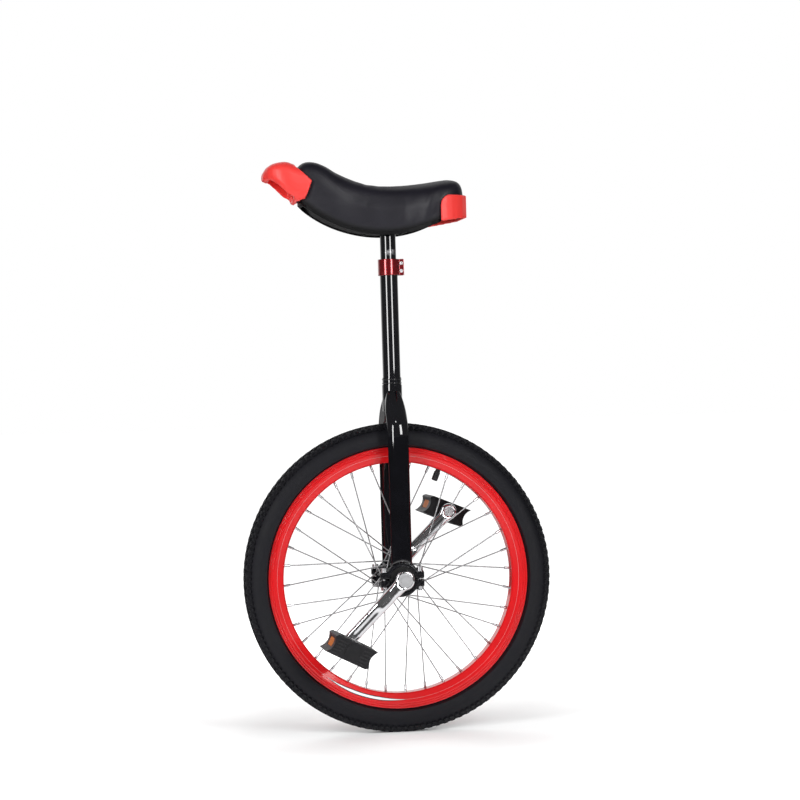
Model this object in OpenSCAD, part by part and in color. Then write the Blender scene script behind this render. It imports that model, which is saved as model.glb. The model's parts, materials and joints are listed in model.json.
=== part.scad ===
/* Unicycle with a 20 inch wheel. +X is forward, +Y is left, +Z is up, and the origin is the
   point on the ground under the middle of the wheel. All sizes are millimetres. */

/* [Tyre] */
// Bead seat diameter of tyre and rim
bead_seat_d = 406; // [390:1:420]
// Section height of the tyre above the bead seat, tread included
tyre_h = 45; // [42:0.5:50]
// Section width of the tyre
tyre_w = 49; // [45:0.5:52]
// Height of the tread blocks
tread_h = 2.5; // [1.5:0.25:3.5]
// Tread blocks in each row
tread_blocks = 120; // [60:2:140]
// Width of one tread row
tread_row_w = 6; // [5:0.1:6.4]
// Thickness of the tyre casing
casing_t = 2.5; // [2:0.25:3.5]
// Width of a tyre bead
bead_w = 3; // [2.5:0.25:3.5]
// Wall of the inner tube
inner_tube_t = 1; // [0.8:0.1:1.5]

/* [Rim and spokes] */
// Outside width of the rim
rim_w = 32; // [29:0.5:35]
// Radial depth of the rim, from the flange edge to the spoke bed
rim_depth = 24.5; // [22:0.5:28]
// Height of the rim flange above the bead seat
rim_flange_h = 6.5; // [5.5:0.25:7.5]
// Wall of the rim
rim_wall = 1.8; // [1.5:0.1:2.4]
// Width of the spoke bed
rim_bed_w = 23; // [20:0.5:26]
// Depth of the rim's centre well under the bead seat
rim_well = 4.5; // [3.5:0.25:5.5]
// Depth of the two grooves round each side of the rim
rim_groove = 0.7; // [0.4:0.1:1]
// Thickness of the rim tape
tape_t = 0.8; // [0.5:0.1:1.2]
// Spoke diameter
spoke_d = 2; // [1.8:0.1:2.3]
// Angle from the top of the wheel to the first spoke hole, towards the front
spoke_phase = 2.3; // [0:0.1:9.9]
// Nipple diameter
nipple_d = 4; // [3.6:0.1:4.4]
// Nipple length below the spoke bed
nipple_l = 11; // [8:0.5:14]
// Valve stem diameter
valve_d = 8; // [6:0.5:8.5]
// How far the valve cap's tip stands in from the spoke bed
valve_l = 19; // [16:0.5:28]

/* [Hub and bearings] */
// Diameter of the circle of spoke holes in a hub flange
flange_pcd = 54; // [50:1:60]
// Distance between the middles of the two flanges
flange_span = 56; // [50:1:60]
// Thickness of a hub flange
flange_t = 2.6; // [2.2:0.1:3.2]
// Diameter of the hub barrel between the flanges
barrel_d = 34; // [28:1:38]
// Diameter of the axle inside the hub
axle_d = 20; // [19:0.5:22]
// Distance between the middles of the two wheel bearings
bearing_span = 102; // [98:1:110]
// Bore of a wheel bearing
bearing_bore_d = 17; // [15:0.5:17.5]
// Outside diameter of a wheel bearing
bearing_od = 40; // [38:0.5:42]
// Width of a wheel bearing
bearing_w = 12; // [11:0.5:13]
// Balls in each wheel bearing
bearing_balls_n = 8; // [6:1:9]

/* [Cranks] */
// Crank length, from axle to pedal spindle
crank_l = 140; // [125:1:150]
// Angle of the left crank below the horizontal, towards the front
crank_angle = 44.5; // [0:0.5:90]
// Diameter of the crank boss on the axle
crank_boss_d = 28; // [26:0.5:32]
// Length of the crank boss along the axle
crank_boss_l = 28; // [25:0.5:31]
// Thickness of the crank arm
crank_arm_t = 15; // [13:0.5:17]
// Width of the crank arm beside the boss
crank_neck_w = 20; // [18:0.5:22]
// Width of the crank arm beside the pedal eye
crank_tip_w = 17; // [15:0.5:19]
// Diameter of the pedal eye
crank_eye_d = 25; // [23:0.5:28]
// Thickness of the pedal eye
crank_eye_t = 15; // [13:0.5:17]
// How far the pedal eye is set out from the boss
crank_set = 13; // [9:0.5:15]
// Width across the small end of the axle's square
square_w = 12.6; // [12:0.1:13.2]
// Distance from the axle at which the arm has reached its full set
crank_bend_x = 58; // [50:1:70]

/* [Pedals] */
// Pedal length, front to back
pedal_l = 73; // [70:1:90]
// Pedal height
pedal_h = 32; // [27:0.5:33]
// Pedal width along its spindle
pedal_w = 90; // [80:1:100]
// How far the pedal's lower side lies ahead of its upper side
pedal_lean = 9; // [0:0.5:12]
// Diameter of the pedal thread in the crank
pedal_thread_d = 14.3; // [12.7:0.1:14.3]
// Diameter of the spindle inside the pedal
spindle_d = 10; // [9:0.5:11]
// Diameter of the pedal barrel
pedal_barrel_d = 24; // [22:0.5:26]
// Nose-up tilt of the left pedal
left_pedal_tilt = 27; // [0:1:45]
// Nose-up tilt of the right pedal
right_pedal_tilt = 23; // [0:1:45]

/* [Frame] */
// Seat tube outside diameter
seat_tube_d = 28.6; // [28:0.1:30]
// Height of the seat tube's foot above the tyre
seat_tube_clear = 19; // [15:1:30]
// Seat tube length
seat_tube_l = 231; // [200:1:280]
// Seatpost outside diameter
post_d = 25.4; // [25:0.1:26.4]
// Wall of the seatpost
post_wall = 1.6; // [1.4:0.1:3]
// Seatpost length below its plate
post_l = 250; // [230:1:280]
// Height of the crown sleeve
sleeve_h = 42; // [36:1:50]
// Wall of the crown sleeve
sleeve_wall = 1.7; // [1.2:0.1:2.5]
// Width of a leg tube, front to back
leg_w = 34; // [30:0.5:38]
// Thickness of a leg tube, side to side
leg_t = 20; // [18:0.5:22]
// Wall of a leg tube
leg_wall = 2; // [1.5:0.1:2.5]
// Inward slope of the leg above its bend
leg_slope = 40; // [36:1:44]
// Bend radius on the middle of the leg
leg_bend_r = 40; // [34:1:46]
// Height of the top of the legs above the tyre
crown_h = 53; // [50:1:58]
// Radius of the pointed arch at the top of a leg
arch_r = 140; // [110:5:200]
// Outside diameter of a bearing housing
housing_d = 54; // [51:0.5:58]
// Width of a bearing housing along the axle
housing_w = 14; // [13:0.5:16]
// Length over the ears of a bearing housing
ear_l = 70; // [68:1:76]
// Thickness of one ear
ear_t = 11; // [9:0.5:12]
// Gap between a housing and its cap
split_gap = 2; // [1:0.25:3]
// Thread diameter of the housing bolts
housing_bolt_d = 6; // [5:0.5:6.5]

/* [Seat clamp] */
// Height of the seat clamp
clamp_h = 26; // [22:0.5:30]
// Wall of the seat clamp
clamp_wall = 3; // [2.5:0.25:4]
// How far the clamp ears reach behind the seat tube axis
clamp_reach = 24; // [23:0.5:30]
// Thickness of one clamp ear
clamp_ear_t = 6; // [5:0.5:8]
// Width of the clamp slot
clamp_slot = 3; // [2:0.5:4]
// Thread diameter of the clamp bolts
clamp_bolt_d = 4.5; // [4:0.5:5]

/* [Saddle] */
// Height of the lowest edge of the saddle above the top of the seat clamp
seat_gap = 37.5; // [34:0.5:60]
// Radius of the saddle's curved underside
saddle_arc_r = 204; // [190:1:230]
// How far the lowest point of the underside lies in front of the post
saddle_low_x = 6; // [0:1:12]
// Reach of the pad in front of the post
pad_front = 148; // [140:1:156]
// Reach of the pad behind the post
pad_rear = 118; // [114:1:130]
// Width of the pad at its tail
pad_tail_w = 146; // [136:1:160]
// Width of the pad at its waist
pad_waist_w = 88; // [84:1:100]
// Width of the pad at its nose
pad_nose_w = 84; // [78:1:94]
// Height of the pad's dip above its lowest edge
pad_dip_h = 77; // [70:1:84]
// Height of the pad's nose above its lowest edge
pad_nose_h = 120; // [114:1:126]
// Height of the pad's tail above its lowest edge
pad_tail_h = 86; // [80:1:92]
// Height of the saddle base, from its lower edge to its top face
base_h = 17; // [14:0.5:18]
// Wall of the saddle base
base_wall = 4; // [3:0.25:5]
// Thickness of the cover between the base's edge and the outside of the pad
skirt_t = 6; // [5:0.5:9]
// How far the base's lower edge shows below the pad
base_lip = 3; // [2:0.5:5]
// Diameter of the screws that hold the red trim to the base
trim_screw_d = 4; // [3:0.5:5]
// Thickness of the red trim over the pad
trim_t = 4; // [3:0.25:5]
// Reach of the front handle in front of the post
handle_front = 200; // [192:1:210]
// Wall of the front handle
handle_wall = 8; // [7:0.5:9]
// Length of the post plate, front to back
plate_l = 76; // [70:1:84]
// Width of the post plate
plate_w = 48; // [44:1:50]
// Thickness of the post plate
plate_t = 4; // [3:0.25:5]
// Thread diameter of the saddle bolts
saddle_bolt_d = 6; // [5:0.5:6]

/* [Hidden] */
$fn = 72;

// Clearances: a sliding or turning fit, a loose fit, and the overshoot of a cutting tool
fit = 0.05;
loose = 0.3;
over = 1;

// Wheel levels, as radii from the axle
seat_r = bead_seat_d / 2;
tyre_r = seat_r + tyre_h;
casing_r = tyre_w / 2;
casing_c = tyre_r - tread_h - casing_r;
flange_r = seat_r + rim_flange_h;
bed_r = flange_r - rim_depth;
well_r = seat_r - rim_well;
tape_r = well_r + tape_t;
tread_gap = tread_row_w / 10;
tread_rows = 2;
well_half = rim_w / 2 - rim_wall - bead_w - rim_well;
axle_z = tyre_r;

// Spokes: 36 holes laced three-cross, odd holes to the left flange
spoke_n = 36;
crossings = 3;
lace_angle = crossings * 720 / spoke_n;
spoke_r = spoke_d / 2;
pcd_r = flange_pcd / 2;
rim_hole_y = 2.5;
head_h = 1.4;
head_r = 2.1;
hole_pitch = 2 * pcd_r * sin(360 / spoke_n);
lace_slope = (flange_span / 2 - rim_hole_y) / (bed_r - pcd_r);
inner_wire_y = flange_t / 2 + spoke_r + loose;
outer_wire_y = flange_t / 2 + head_h + spoke_r + loose + hole_pitch * lace_slope;
valve_bare = 4;
valve_angle = spoke_phase - 2.5 * 360 / spoke_n;

// Bearings and crank places along the axle
bearing_y = bearing_span / 2;
bearing_in_y = bearing_y - bearing_w / 2;
bearing_out_y = bearing_y + bearing_w / 2;
ball_c = (bearing_bore_d + bearing_od) / 4;
ball_groove_r = (bearing_od - bearing_bore_d) * 0.3 / 2;
ball_r = ball_groove_r - 2 * fit;
race_t = (bearing_od - bearing_bore_d) * 0.33 / 2;
leg_out_y = bearing_y + leg_t / 2;
crank_y = max(bearing_out_y + 2, leg_out_y - 0.5);
arm_in = leg_out_y + 2.5 - crank_y;
eye_in = arm_in + crank_set;
eye_out = eye_in + crank_eye_t;
crank_arm_x = crank_boss_d / 2 + 15;
crank_eye_x = crank_l - crank_eye_d / 2 - 1;
crank_pocket_t = 1.4;
square_l = crank_boss_l - 7;
square_taper = 2;
square_big_w = square_w + 2 * square_l * tan(square_taper);
crank_bolt_r = 4;
crank_bolt_head_r = 7;
crank_seat = 2.2;
crank_socket_r = crank_boss_d / 2 - 2.5;
cap_t = 1.6;

// Pedal places along the spindle, from the outer face of the pedal eye
collar_t = 5;
pedal_in = collar_t + 1;
pedal_out = pedal_in + pedal_w;
bush_l = 12;
bush_r = spindle_d / 2 + 2.5;
nut_t = 6;
nut_socket_l = nut_t + 5;
nut_socket_r = bush_r + 1.5;
pedal_wall = 8;
pedal_block = 14;
barrel_r = pedal_barrel_d / 2;
pedal_hollow = pedal_h * 0.2;
pedal_ridge = 1.2;
reflector_t = 4;

// Frame levels
tube_foot_z = 2 * tyre_r + seat_tube_clear;
tube_top_z = tube_foot_z + seat_tube_l;
clamp_lip = clamp_h / 2;
clamp_z = tube_top_z - clamp_h + clamp_lip;
clamp_top_z = clamp_z + clamp_h;
sleeve_r = seat_tube_d / 2 + sleeve_wall;
ring_h = 3;
housing_r = housing_d / 2;
leg_y = bearing_y;
// Height at which the leg starts to bend, so that its outer face meets the sleeve at the crown
bend_end_y = leg_y - leg_bend_r * (1 - cos(leg_slope));
crown_mid_y = sleeve_r - leg_t / 2 * cos(leg_slope);
crown_mid_z = 2 * tyre_r + crown_h - leg_t / 2 * sin(leg_slope);
bend_z = round(crown_mid_z - (bend_end_y - crown_mid_y) / tan(leg_slope) - leg_bend_r * sin(leg_slope));
arch_z = 2 * tyre_r + crown_h * 0.17;
slope_l = bend_end_y / sin(leg_slope);
slope_lap = 3;
slope_proud = 0.02;

// Clamp bolts behind the tube, as shares of the clamp's height
clamp_bolt_x = -(seat_tube_d / 2 + clamp_wall + clamp_reach) / 2 + clamp_bolt_d * 0.3;
clamp_bolt_places = [0.27, 0.73];

// Housing fasteners
ear_bolt_x = ear_l / 2 - 6.5;
ear_top = split_gap / 2 + ear_t;
washer_r = housing_bolt_d;
washer_t = 1.2;
bolt_head_h = housing_bolt_d * 0.9;
bolt_head_r = housing_bolt_d * 0.85;
housing_nut_h = housing_bolt_d * 0.8;

// Saddle levels
low_z = clamp_top_z + seat_gap;
arc_z = low_z + saddle_arc_r;
base_top_r = saddle_arc_r - base_h;
base_under_r = base_top_r + base_wall;
plate_top_z = arc_z - base_under_r - loose;
plate_z = plate_top_z - plate_t;
stud_x = plate_l / 2 - 9;
stud_y = plate_w / 2 - 8;
nut_h = saddle_bolt_d * 0.8;
handle_root = pad_front + loose;
boss_l = loose + base_wall * 0.6 + stud_x ^ 2 / (2 * base_under_r);
cavity_from = 0.1;

// Places a part on the axle line, with its own z along +Y
module on_axle() {
    translate([0, 0, axle_z]) rotate([-90, 0, 0]) children();
}

// Repeats a part on both sides of the wheel
module both_sides() {
    for (side = [0, 1]) mirror([0, side, 0]) children();
}

// Straight round bar between two points
module rod(from, to, r) {
    d = to - from;
    translate(from) rotate([0, acos(d.z / norm(d)), atan2(d.y, d.x)]) cylinder(h = norm(d), r = r);
}

// Ring along z between two radii
module ring(r_in, r_out, h) {
    difference() {
        cylinder(h = h, r = r_out);
        translate([0, 0, -over]) cylinder(h = h + 2 * over, r = r_in);
    }
}

// Hexagon prism across flats
module hexagon(flats, h) {
    cylinder(h = h, r = flats / sqrt(3), $fn = 6);
}

// Mirrors a half section of revolution about the wheel's middle plane
module both_halves() {
    children();
    mirror([0, 1]) children();
}

// Smooth curve through points sorted by their first coordinate
function slope_at(p, i) =
    i == 0 ? (p[1].y - p[0].y) / (p[1].x - p[0].x)
    : i == len(p) - 1 ? (p[i].y - p[i - 1].y) / (p[i].x - p[i - 1].x)
    : (p[i + 1].y - p[i - 1].y) / (p[i + 1].x - p[i - 1].x);
function span_of(p, x, i = 0) = i >= len(p) - 2 || x <= p[i + 1].x ? i : span_of(p, x, i + 1);
function hermite(a, b, ma, mb, w, t) =
    a * (2 * t ^ 3 - 3 * t ^ 2 + 1) + b * (3 * t ^ 2 - 2 * t ^ 3)
    + w * (ma * (t ^ 3 - 2 * t ^ 2 + t) + mb * (t ^ 3 - t ^ 2));
function curve_on(p, x, i) =
    let (w = p[i + 1].x - p[i].x)
    hermite(p[i].y, p[i + 1].y, slope_at(p, i), slope_at(p, i + 1), w, (x - p[i].x) / w);
function curve(p, x) = curve_on(p, x, span_of(p, x));

// Seat tube with the slot that lets the clamp close it on the post
module seat_tube() {
    slot_l = clamp_h * 1.6;
    color([0.07, 0.07, 0.08]) difference() {
        translate([0, 0, tube_foot_z]) ring(post_d / 2 + fit, seat_tube_d / 2, seat_tube_l);
        translate([-seat_tube_d, -clamp_slot / 2, tube_top_z - slot_l])
            cube([seat_tube_d, clamp_slot, slot_l + over]);
    }
}

// Sleeve round the foot of the seat tube, with two raised rings above it
module crown_sleeve() {
    bore = seat_tube_d / 2 + fit;
    color([0.07, 0.07, 0.08]) translate([0, 0, tube_foot_z]) rotate_extrude() {
        translate([bore, 0]) square([sleeve_r - bore, sleeve_h]);
        translate([bore, 0]) square([sleeve_wall / 2, sleeve_h + 4 * ring_h]);
        for (i = [1, 3])
            translate([bore + sleeve_wall / 2, sleeve_h + i * ring_h]) circle(r = sleeve_wall * 0.45);
    }
}

// Flat-sided oval section of a leg, long side along x
module leg_section(shrink) {
    r = leg_t / 2 - shrink;
    run = leg_w / 2 - leg_t / 2;
    square([2 * run, 2 * r], center = true);
    for (s = [-1, 1]) translate([s * run, 0]) circle(r = r);
}

// Solid of the leg's outside or of its hollow: straight, bend, and a slope that laps into the bend
module leg_run(shrink, start_z) {
    translate([0, leg_y, start_z]) linear_extrude(bend_z - start_z) leg_section(shrink);
    translate([0, leg_y - leg_bend_r, bend_z]) {
        rotate([90, 0, 90]) rotate_extrude(angle = leg_slope)
            translate([leg_bend_r, 0]) rotate(90) leg_section(shrink);
        rotate([leg_slope, 0, 0]) translate([0, leg_bend_r, -slope_lap])
            linear_extrude(slope_l) leg_section(shrink - slope_proud);
    }
}

// Outline that narrows the top of a leg to a pointed arch, seen from the side
module leg_arch(shrink) {
    half = leg_w / 2 - shrink;
    r = arch_r - shrink;
    translate([-half, 0]) square([2 * half, arch_z]);
    translate([0, arch_z]) intersection() {
        translate([half - r, 0]) circle(r = r);
        translate([r - half, 0]) circle(r = r);
        translate([-half, -over]) square([2 * half, 3 * leg_w]);
    }
}

module leg_form(shrink, start_z) {
    intersection() {
        leg_run(shrink, start_z);
        translate([0, 2 * leg_y, 0]) rotate([90, 0, 0]) linear_extrude(2 * leg_y) leg_arch(shrink);
    }
}

module leg() {
    start_z = axle_z + housing_r / 2;
    difference() {
        leg_form(0, start_z);
        leg_form(leg_wall, start_z - over);
        cylinder(h = 4 * tyre_r, r = sleeve_r + fit);
        on_axle() cylinder(h = 3 * leg_y, r = housing_r + fit);
    }
}

module left_leg() {
    color([0.07, 0.07, 0.08]) leg();
}

module right_leg() {
    color([0.07, 0.07, 0.08]) mirror([0, 1, 0]) leg();
}

// One half of a bearing housing: up is 1 for the half on the leg and -1 for the cap
module housing_half(up) {
    difference() {
        translate([0, bearing_y - housing_w / 2, 0]) on_axle() union() {
            cylinder(h = housing_w, r = housing_r);
            translate([-ear_l / 2, -split_gap / 2 - ear_t, 0])
                cube([ear_l, 2 * ear_t + split_gap, housing_w]);
        }
        on_axle() cylinder(h = 3 * bearing_y, r = bearing_od / 2 + fit);
        translate([-ear_l, 0, axle_z + split_gap / 2 * up - (up > 0 ? ear_l : 0)])
            cube([2 * ear_l, 3 * bearing_y, ear_l]);
        for (s = [-1, 1]) translate([s * ear_bolt_x, bearing_y, axle_z]) {
            cylinder(h = 2 * ear_l, r = housing_bolt_d / 2 + loose, center = true);
            for (side = [0, 1]) mirror([0, 0, side]) translate([0, 0, ear_top])
                cylinder(h = ear_l, r = washer_r + 2 * loose);
        }
    }
}

module left_housing() {
    color([0.08, 0.08, 0.09]) housing_half(1);
}

module right_housing() {
    color([0.08, 0.08, 0.09]) mirror([0, 1, 0]) housing_half(1);
}

module left_bearing_cap() {
    color([0.08, 0.08, 0.09]) housing_half(-1);
}

module right_bearing_cap() {
    color([0.08, 0.08, 0.09]) mirror([0, 1, 0]) housing_half(-1);
}

// Repeats a part at the four housing bolts, from the top of the ears
module at_ear_bolts() {
    both_sides() for (s = [-1, 1])
        translate([s * ear_bolt_x, bearing_y, axle_z + split_gap / 2 + ear_t]) children();
}

module housing_bolts() {
    grip = 2 * ear_t + split_gap + washer_t + housing_nut_h + 2;
    color("silver") at_ear_bolts() translate([0, 0, washer_t]) difference() {
        union() {
            cylinder(h = bolt_head_h, r = bolt_head_r);
            translate([0, 0, -grip]) cylinder(h = grip, r = housing_bolt_d / 2);
        }
        translate([0, 0, bolt_head_h / 2]) hexagon(housing_bolt_d * 0.8, bolt_head_h);
    }
}

module housing_washers() {
    color("silver") at_ear_bolts() ring(housing_bolt_d / 2 + fit, washer_r, washer_t);
}

module housing_nuts() {
    drop = 2 * ear_t + split_gap + housing_nut_h;
    color("silver") at_ear_bolts() translate([0, 0, -drop]) difference() {
        hexagon(housing_bolt_d * 1.65, housing_nut_h);
        translate([0, 0, -over]) cylinder(h = housing_nut_h + 2 * over, r = housing_bolt_d / 2 + fit);
    }
}

// Section of a bearing race between two radii, with its ball groove
module race(r_in, r_out) {
    rotate_extrude() difference() {
        translate([r_in, 0]) square([r_out - r_in, bearing_w]);
        translate([ball_c, bearing_w / 2]) circle(r = ball_groove_r);
    }
}

module at_bearings() {
    both_sides() translate([0, bearing_in_y, 0]) on_axle() children();
}

module bearing_outer_races() {
    color("lightgray") at_bearings() race(bearing_od / 2 - race_t, bearing_od / 2);
}

module bearing_inner_races() {
    color("lightgray") at_bearings() race(bearing_bore_d / 2 + fit, bearing_bore_d / 2 + race_t);
}

module bearing_shields() {
    shield_t = 0.5;
    color("dimgray") at_bearings()
        for (z = [shield_t, bearing_w - 2 * shield_t])
            translate([0, 0, z])
                ring(bearing_bore_d / 2 + race_t + loose, bearing_od / 2 - race_t - fit, shield_t);
}

module bearing_balls() {
    color("silver") at_bearings()
        for (i = [0 : bearing_balls_n - 1])
            rotate(i * 360 / bearing_balls_n) translate([ball_c, 0, bearing_w / 2]) sphere(r = ball_r);
}

// Split collar that rests on the top of the seat tube and closes on the post
module seat_clamp() {
    r_out = seat_tube_d / 2 + clamp_wall;
    ear_y = clamp_slot / 2 + clamp_ear_t;
    color([0.55, 0.04, 0.08]) translate([0, 0, clamp_z]) difference() {
        union() {
            cylinder(h = clamp_h, r = r_out);
            translate([-clamp_reach, -ear_y, 0]) cube([clamp_reach, 2 * ear_y, clamp_h]);
        }
        translate([0, 0, -over]) cylinder(h = clamp_h + 2 * over, r = post_d / 2 + fit);
        translate([0, 0, -over]) cylinder(h = clamp_h - clamp_lip + over, r = seat_tube_d / 2 + fit);
        translate([-2 * clamp_reach, -clamp_slot / 2, -over])
            cube([2 * clamp_reach, clamp_slot, clamp_h + 2 * over]);
        for (z = clamp_bolt_places)
            translate([clamp_bolt_x, 0, z * clamp_h]) rotate([-90, 0, 0])
                cylinder(h = 4 * ear_y, r = clamp_bolt_d / 2 + fit, center = true);
    }
}

// Two socket head bolts across the clamp ears, screwed into the far ear
module clamp_bolts() {
    ear_y = clamp_slot / 2 + clamp_ear_t;
    head_l = clamp_bolt_d * 0.6;
    color("gainsboro") for (z = clamp_bolt_places)
        translate([clamp_bolt_x, 0, clamp_z + z * clamp_h]) rotate([-90, 0, 0]) difference() {
            union() {
                translate([0, 0, ear_y]) cylinder(h = head_l, r = clamp_bolt_d * 0.62);
                translate([0, 0, -ear_y]) cylinder(h = 2 * ear_y, r = clamp_bolt_d / 2);
            }
            translate([0, 0, ear_y + head_l / 3]) hexagon(clamp_bolt_d * 0.7, head_l);
        }
}

// Section of the tyre's casing above the beads, as radius and distance from the middle plane
module casing_section(thin) {
    foot_y = rim_w / 2 - rim_wall - fit - thin;
    lift = flange_r + 2 * loose + thin;
    both_halves() difference() {
        intersection() {
            translate([casing_c, 0]) circle(r = casing_r - thin);
            translate([seat_r + fit, 0]) square([tyre_h, tyre_w]);
        }
        polygon([[0, foot_y], [lift, foot_y], [lift + casing_r * 0.35, foot_y + casing_r],
                 [0, foot_y + casing_r]]);
    }
}

// Distance of a tread row's inner edge from the middle plane, and the land on the casing it sits on
function row_y(i) = i == 0 ? -tread_row_w / 2 : (i - 0.5) * tread_row_w + i * tread_gap;
function row_land(i) = casing_c + sqrt(casing_r ^ 2 - max(0, row_y(i)) ^ 2) + 4 * fit;

// Half section of the lands under the tread rows
module land_section() {
    for (i = [0 : tread_rows]) let (from = casing_c + casing_r / 2, y = max(0, row_y(i)))
        translate([from, y]) square([row_land(i) - from, row_y(i) + tread_row_w - y]);
}

// Casing with its two beads, open towards the rim
module tyre() {
    bead_y = rim_w / 2 - rim_wall - fit;
    color([0.15, 0.15, 0.17]) on_axle() rotate_extrude() difference() {
        union() {
            casing_section(0);
            translate([seat_r + fit, -bead_y]) square([casing_c - seat_r - fit, 2 * bead_y]);
            both_halves() land_section();
        }
        casing_section(casing_t);
        translate([0, bead_w - bead_y]) square([casing_c, 2 * (bead_y - bead_w)]);
    }
}

// Ring of tread blocks on a thin band
module tread_row(i) {
    bore = row_land(i) + fit;
    band = bore + tread_h * 0.25;
    top = row_land(i) + tread_h - 4 * fit;
    corners = [[band, -0.32], [top, -0.25], [top, 0.25], [band, 0.32]];
    linear_extrude(tread_row_w) difference() {
        polygon([for (j = [0 : tread_blocks - 1], q = corners)
            let (a = (j + i / 2 + q.y) * 360 / tread_blocks) q.x * [cos(a), sin(a)]]);
        polygon([for (j = [0 : tread_blocks - 1])
            let (a = (j + i / 2 + 0.5) * 360 / tread_blocks) bore / cos(180 / tread_blocks) * [cos(a), sin(a)]]);
    }
}

// Rows of tread blocks, each half a pitch out of step with the next
module tyre_tread() {
    color([0.13, 0.13, 0.15]) on_axle() {
        translate([0, 0, row_y(0)]) tread_row(0);
        for (i = [1 : tread_rows], side = [0, 1]) mirror([0, 0, side])
            translate([0, 0, row_y(i)]) tread_row(i);
    }
}

// Section of the inner tube: round in the tyre, with a neck between the beads and a foot in the well
module tube_section(thin) {
    neck = rim_w / 2 - rim_wall - bead_w - 2 * loose - thin;
    foot = tape_r + fit + thin;
    foot_half = well_half - loose - thin / 2;
    waist = flange_r + casing_t + casing_r * 0.18 + thin;
    intersection() {
        translate([casing_c, 0]) circle(r = casing_r - casing_t - loose - thin);
        translate([waist, -tyre_w]) square([tyre_w, 2 * tyre_w]);
    }
    polygon([[foot, -foot_half], [foot + neck - foot_half, -neck], [waist + over, -neck],
             [waist + over, neck], [foot + neck - foot_half, neck], [foot, foot_half]]);
}

module inner_tube() {
    color([0.1, 0.1, 0.1]) on_axle() rotate_extrude() difference() {
        tube_section(0);
        tube_section(inner_tube_t);
    }
}

module rim_tape() {
    half = well_half - loose;
    color("black") on_axle() difference() {
        rotate_extrude() translate([well_r + fit / 2, -half]) square([tape_t - fit / 2, 2 * half]);
        valve_hole();
    }
}

module valve_hole() {
    rotate(valve_angle - 90) rotate([0, 90, 0]) cylinder(h = seat_r, r = valve_d / 2 + loose);
}

// Half section of the rim, from the well at the middle plane round to the spoke bed
module rim_half() {
    side = rim_w / 2;
    bed = rim_bed_w / 2;
    corner = 2;
    band = rim_flange_h + 3;
    difference() {
        polygon([[well_r, 0], [well_r, well_half], [seat_r, well_half + rim_well],
                 [seat_r, side - rim_wall], [flange_r, side - rim_wall], [flange_r, side],
                 [flange_r - band, side], [bed_r + corner, bed + corner], [bed_r, bed], [bed_r, 0]]);
        polygon([[well_r - rim_wall, -over], [well_r - rim_wall, well_half],
                 [flange_r - band - rim_wall, side - rim_wall * 1.5],
                 [bed_r + corner, bed], [bed_r + rim_wall, bed - rim_wall], [bed_r + rim_wall, -over]]);
        for (drop = [3, 6.5])
            translate([flange_r - drop, side]) circle(r = rim_groove);
    }
}

// Spoke ends: hole k in the rim and its hole in the hub, in wheel coordinates
function rim_angle(k) = spoke_phase + k * 360 / spoke_n - 90;
function spoke_side(k) = k % 2 == 1 ? 1 : -1;
function spoke_turn(k) = k % 4 < 2 ? -1 : 1;
function rim_point(k, r) =
    [r * cos(rim_angle(k)), r * sin(rim_angle(k)), spoke_side(k) * rim_hole_y];
function wire_y(k) =
    flange_span / 2 + (spoke_turn(k) > 0 ? outer_wire_y : -inner_wire_y);
function hub_point(k) =
    let (a = rim_angle(k) + spoke_turn(k) * lace_angle)
    [pcd_r * cos(a), pcd_r * sin(a), spoke_side(k) * wire_y(k)];
function spoke_dir(k) =
    let (d = rim_point(k, bed_r) - hub_point(k)) d / norm(d);

module rim() {
    color([0.9, 0.16, 0.18]) on_axle() difference() {
        rotate_extrude() both_halves() rim_half();
        for (k = [0 : spoke_n - 1]) let (p = rim_point(k, bed_r), d = spoke_dir(k))
            rod(p - d * nipple_d, p + d * nipple_d, nipple_d / 2 + loose);
        valve_hole();
    }
}

module spoke(k) {
    start = hub_point(k);
    side = spoke_side(k);
    turn = spoke_turn(k);
    flange_face = side * (flange_span / 2 - turn * flange_t / 2);
    elbow_r = spoke_r * 1.08;
    rod(start, rim_point(k, bed_r) - spoke_dir(k) * nipple_l / 3, spoke_r);
    out = side * turn;
    tip = [start.x, start.y, start.z + out * spoke_r];
    root = [start.x, start.y, flange_face - out * loose / 2];
    rod(root, tip, elbow_r);
    rod(root - [0, 0, out * head_h], root, head_r);
}

module left_spokes() {
    color("silver") on_axle() for (k = [1 : 2 : spoke_n - 1]) spoke(k);
}

module right_spokes() {
    color("silver") on_axle() for (k = [0 : 2 : spoke_n - 1]) spoke(k);
}

// Nipples hang from the spoke bed along their spokes
module nipples() {
    head = 2.4;
    lift = rim_wall + 0.9;
    color("gainsboro") on_axle() for (k = [0 : spoke_n - 1])
        let (p = rim_point(k, bed_r), d = spoke_dir(k)) difference() {
            union() {
                rod(p - d * nipple_l, p + d * (lift + head), nipple_d / 2);
                rod(p + d * lift, p + d * (lift + head), nipple_d / 2 + 1.1);
            }
            rod(p - d * 2 * nipple_l, p + d * 2 * nipple_l, spoke_r + fit);
        }
}

module valve_stem() {
    tip = bed_r - valve_bare;
    color([0.12, 0.12, 0.12]) on_valve(tip - valve_d) cylinder(h = tape_r - tip + valve_d, r = valve_d / 2);
}

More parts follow.
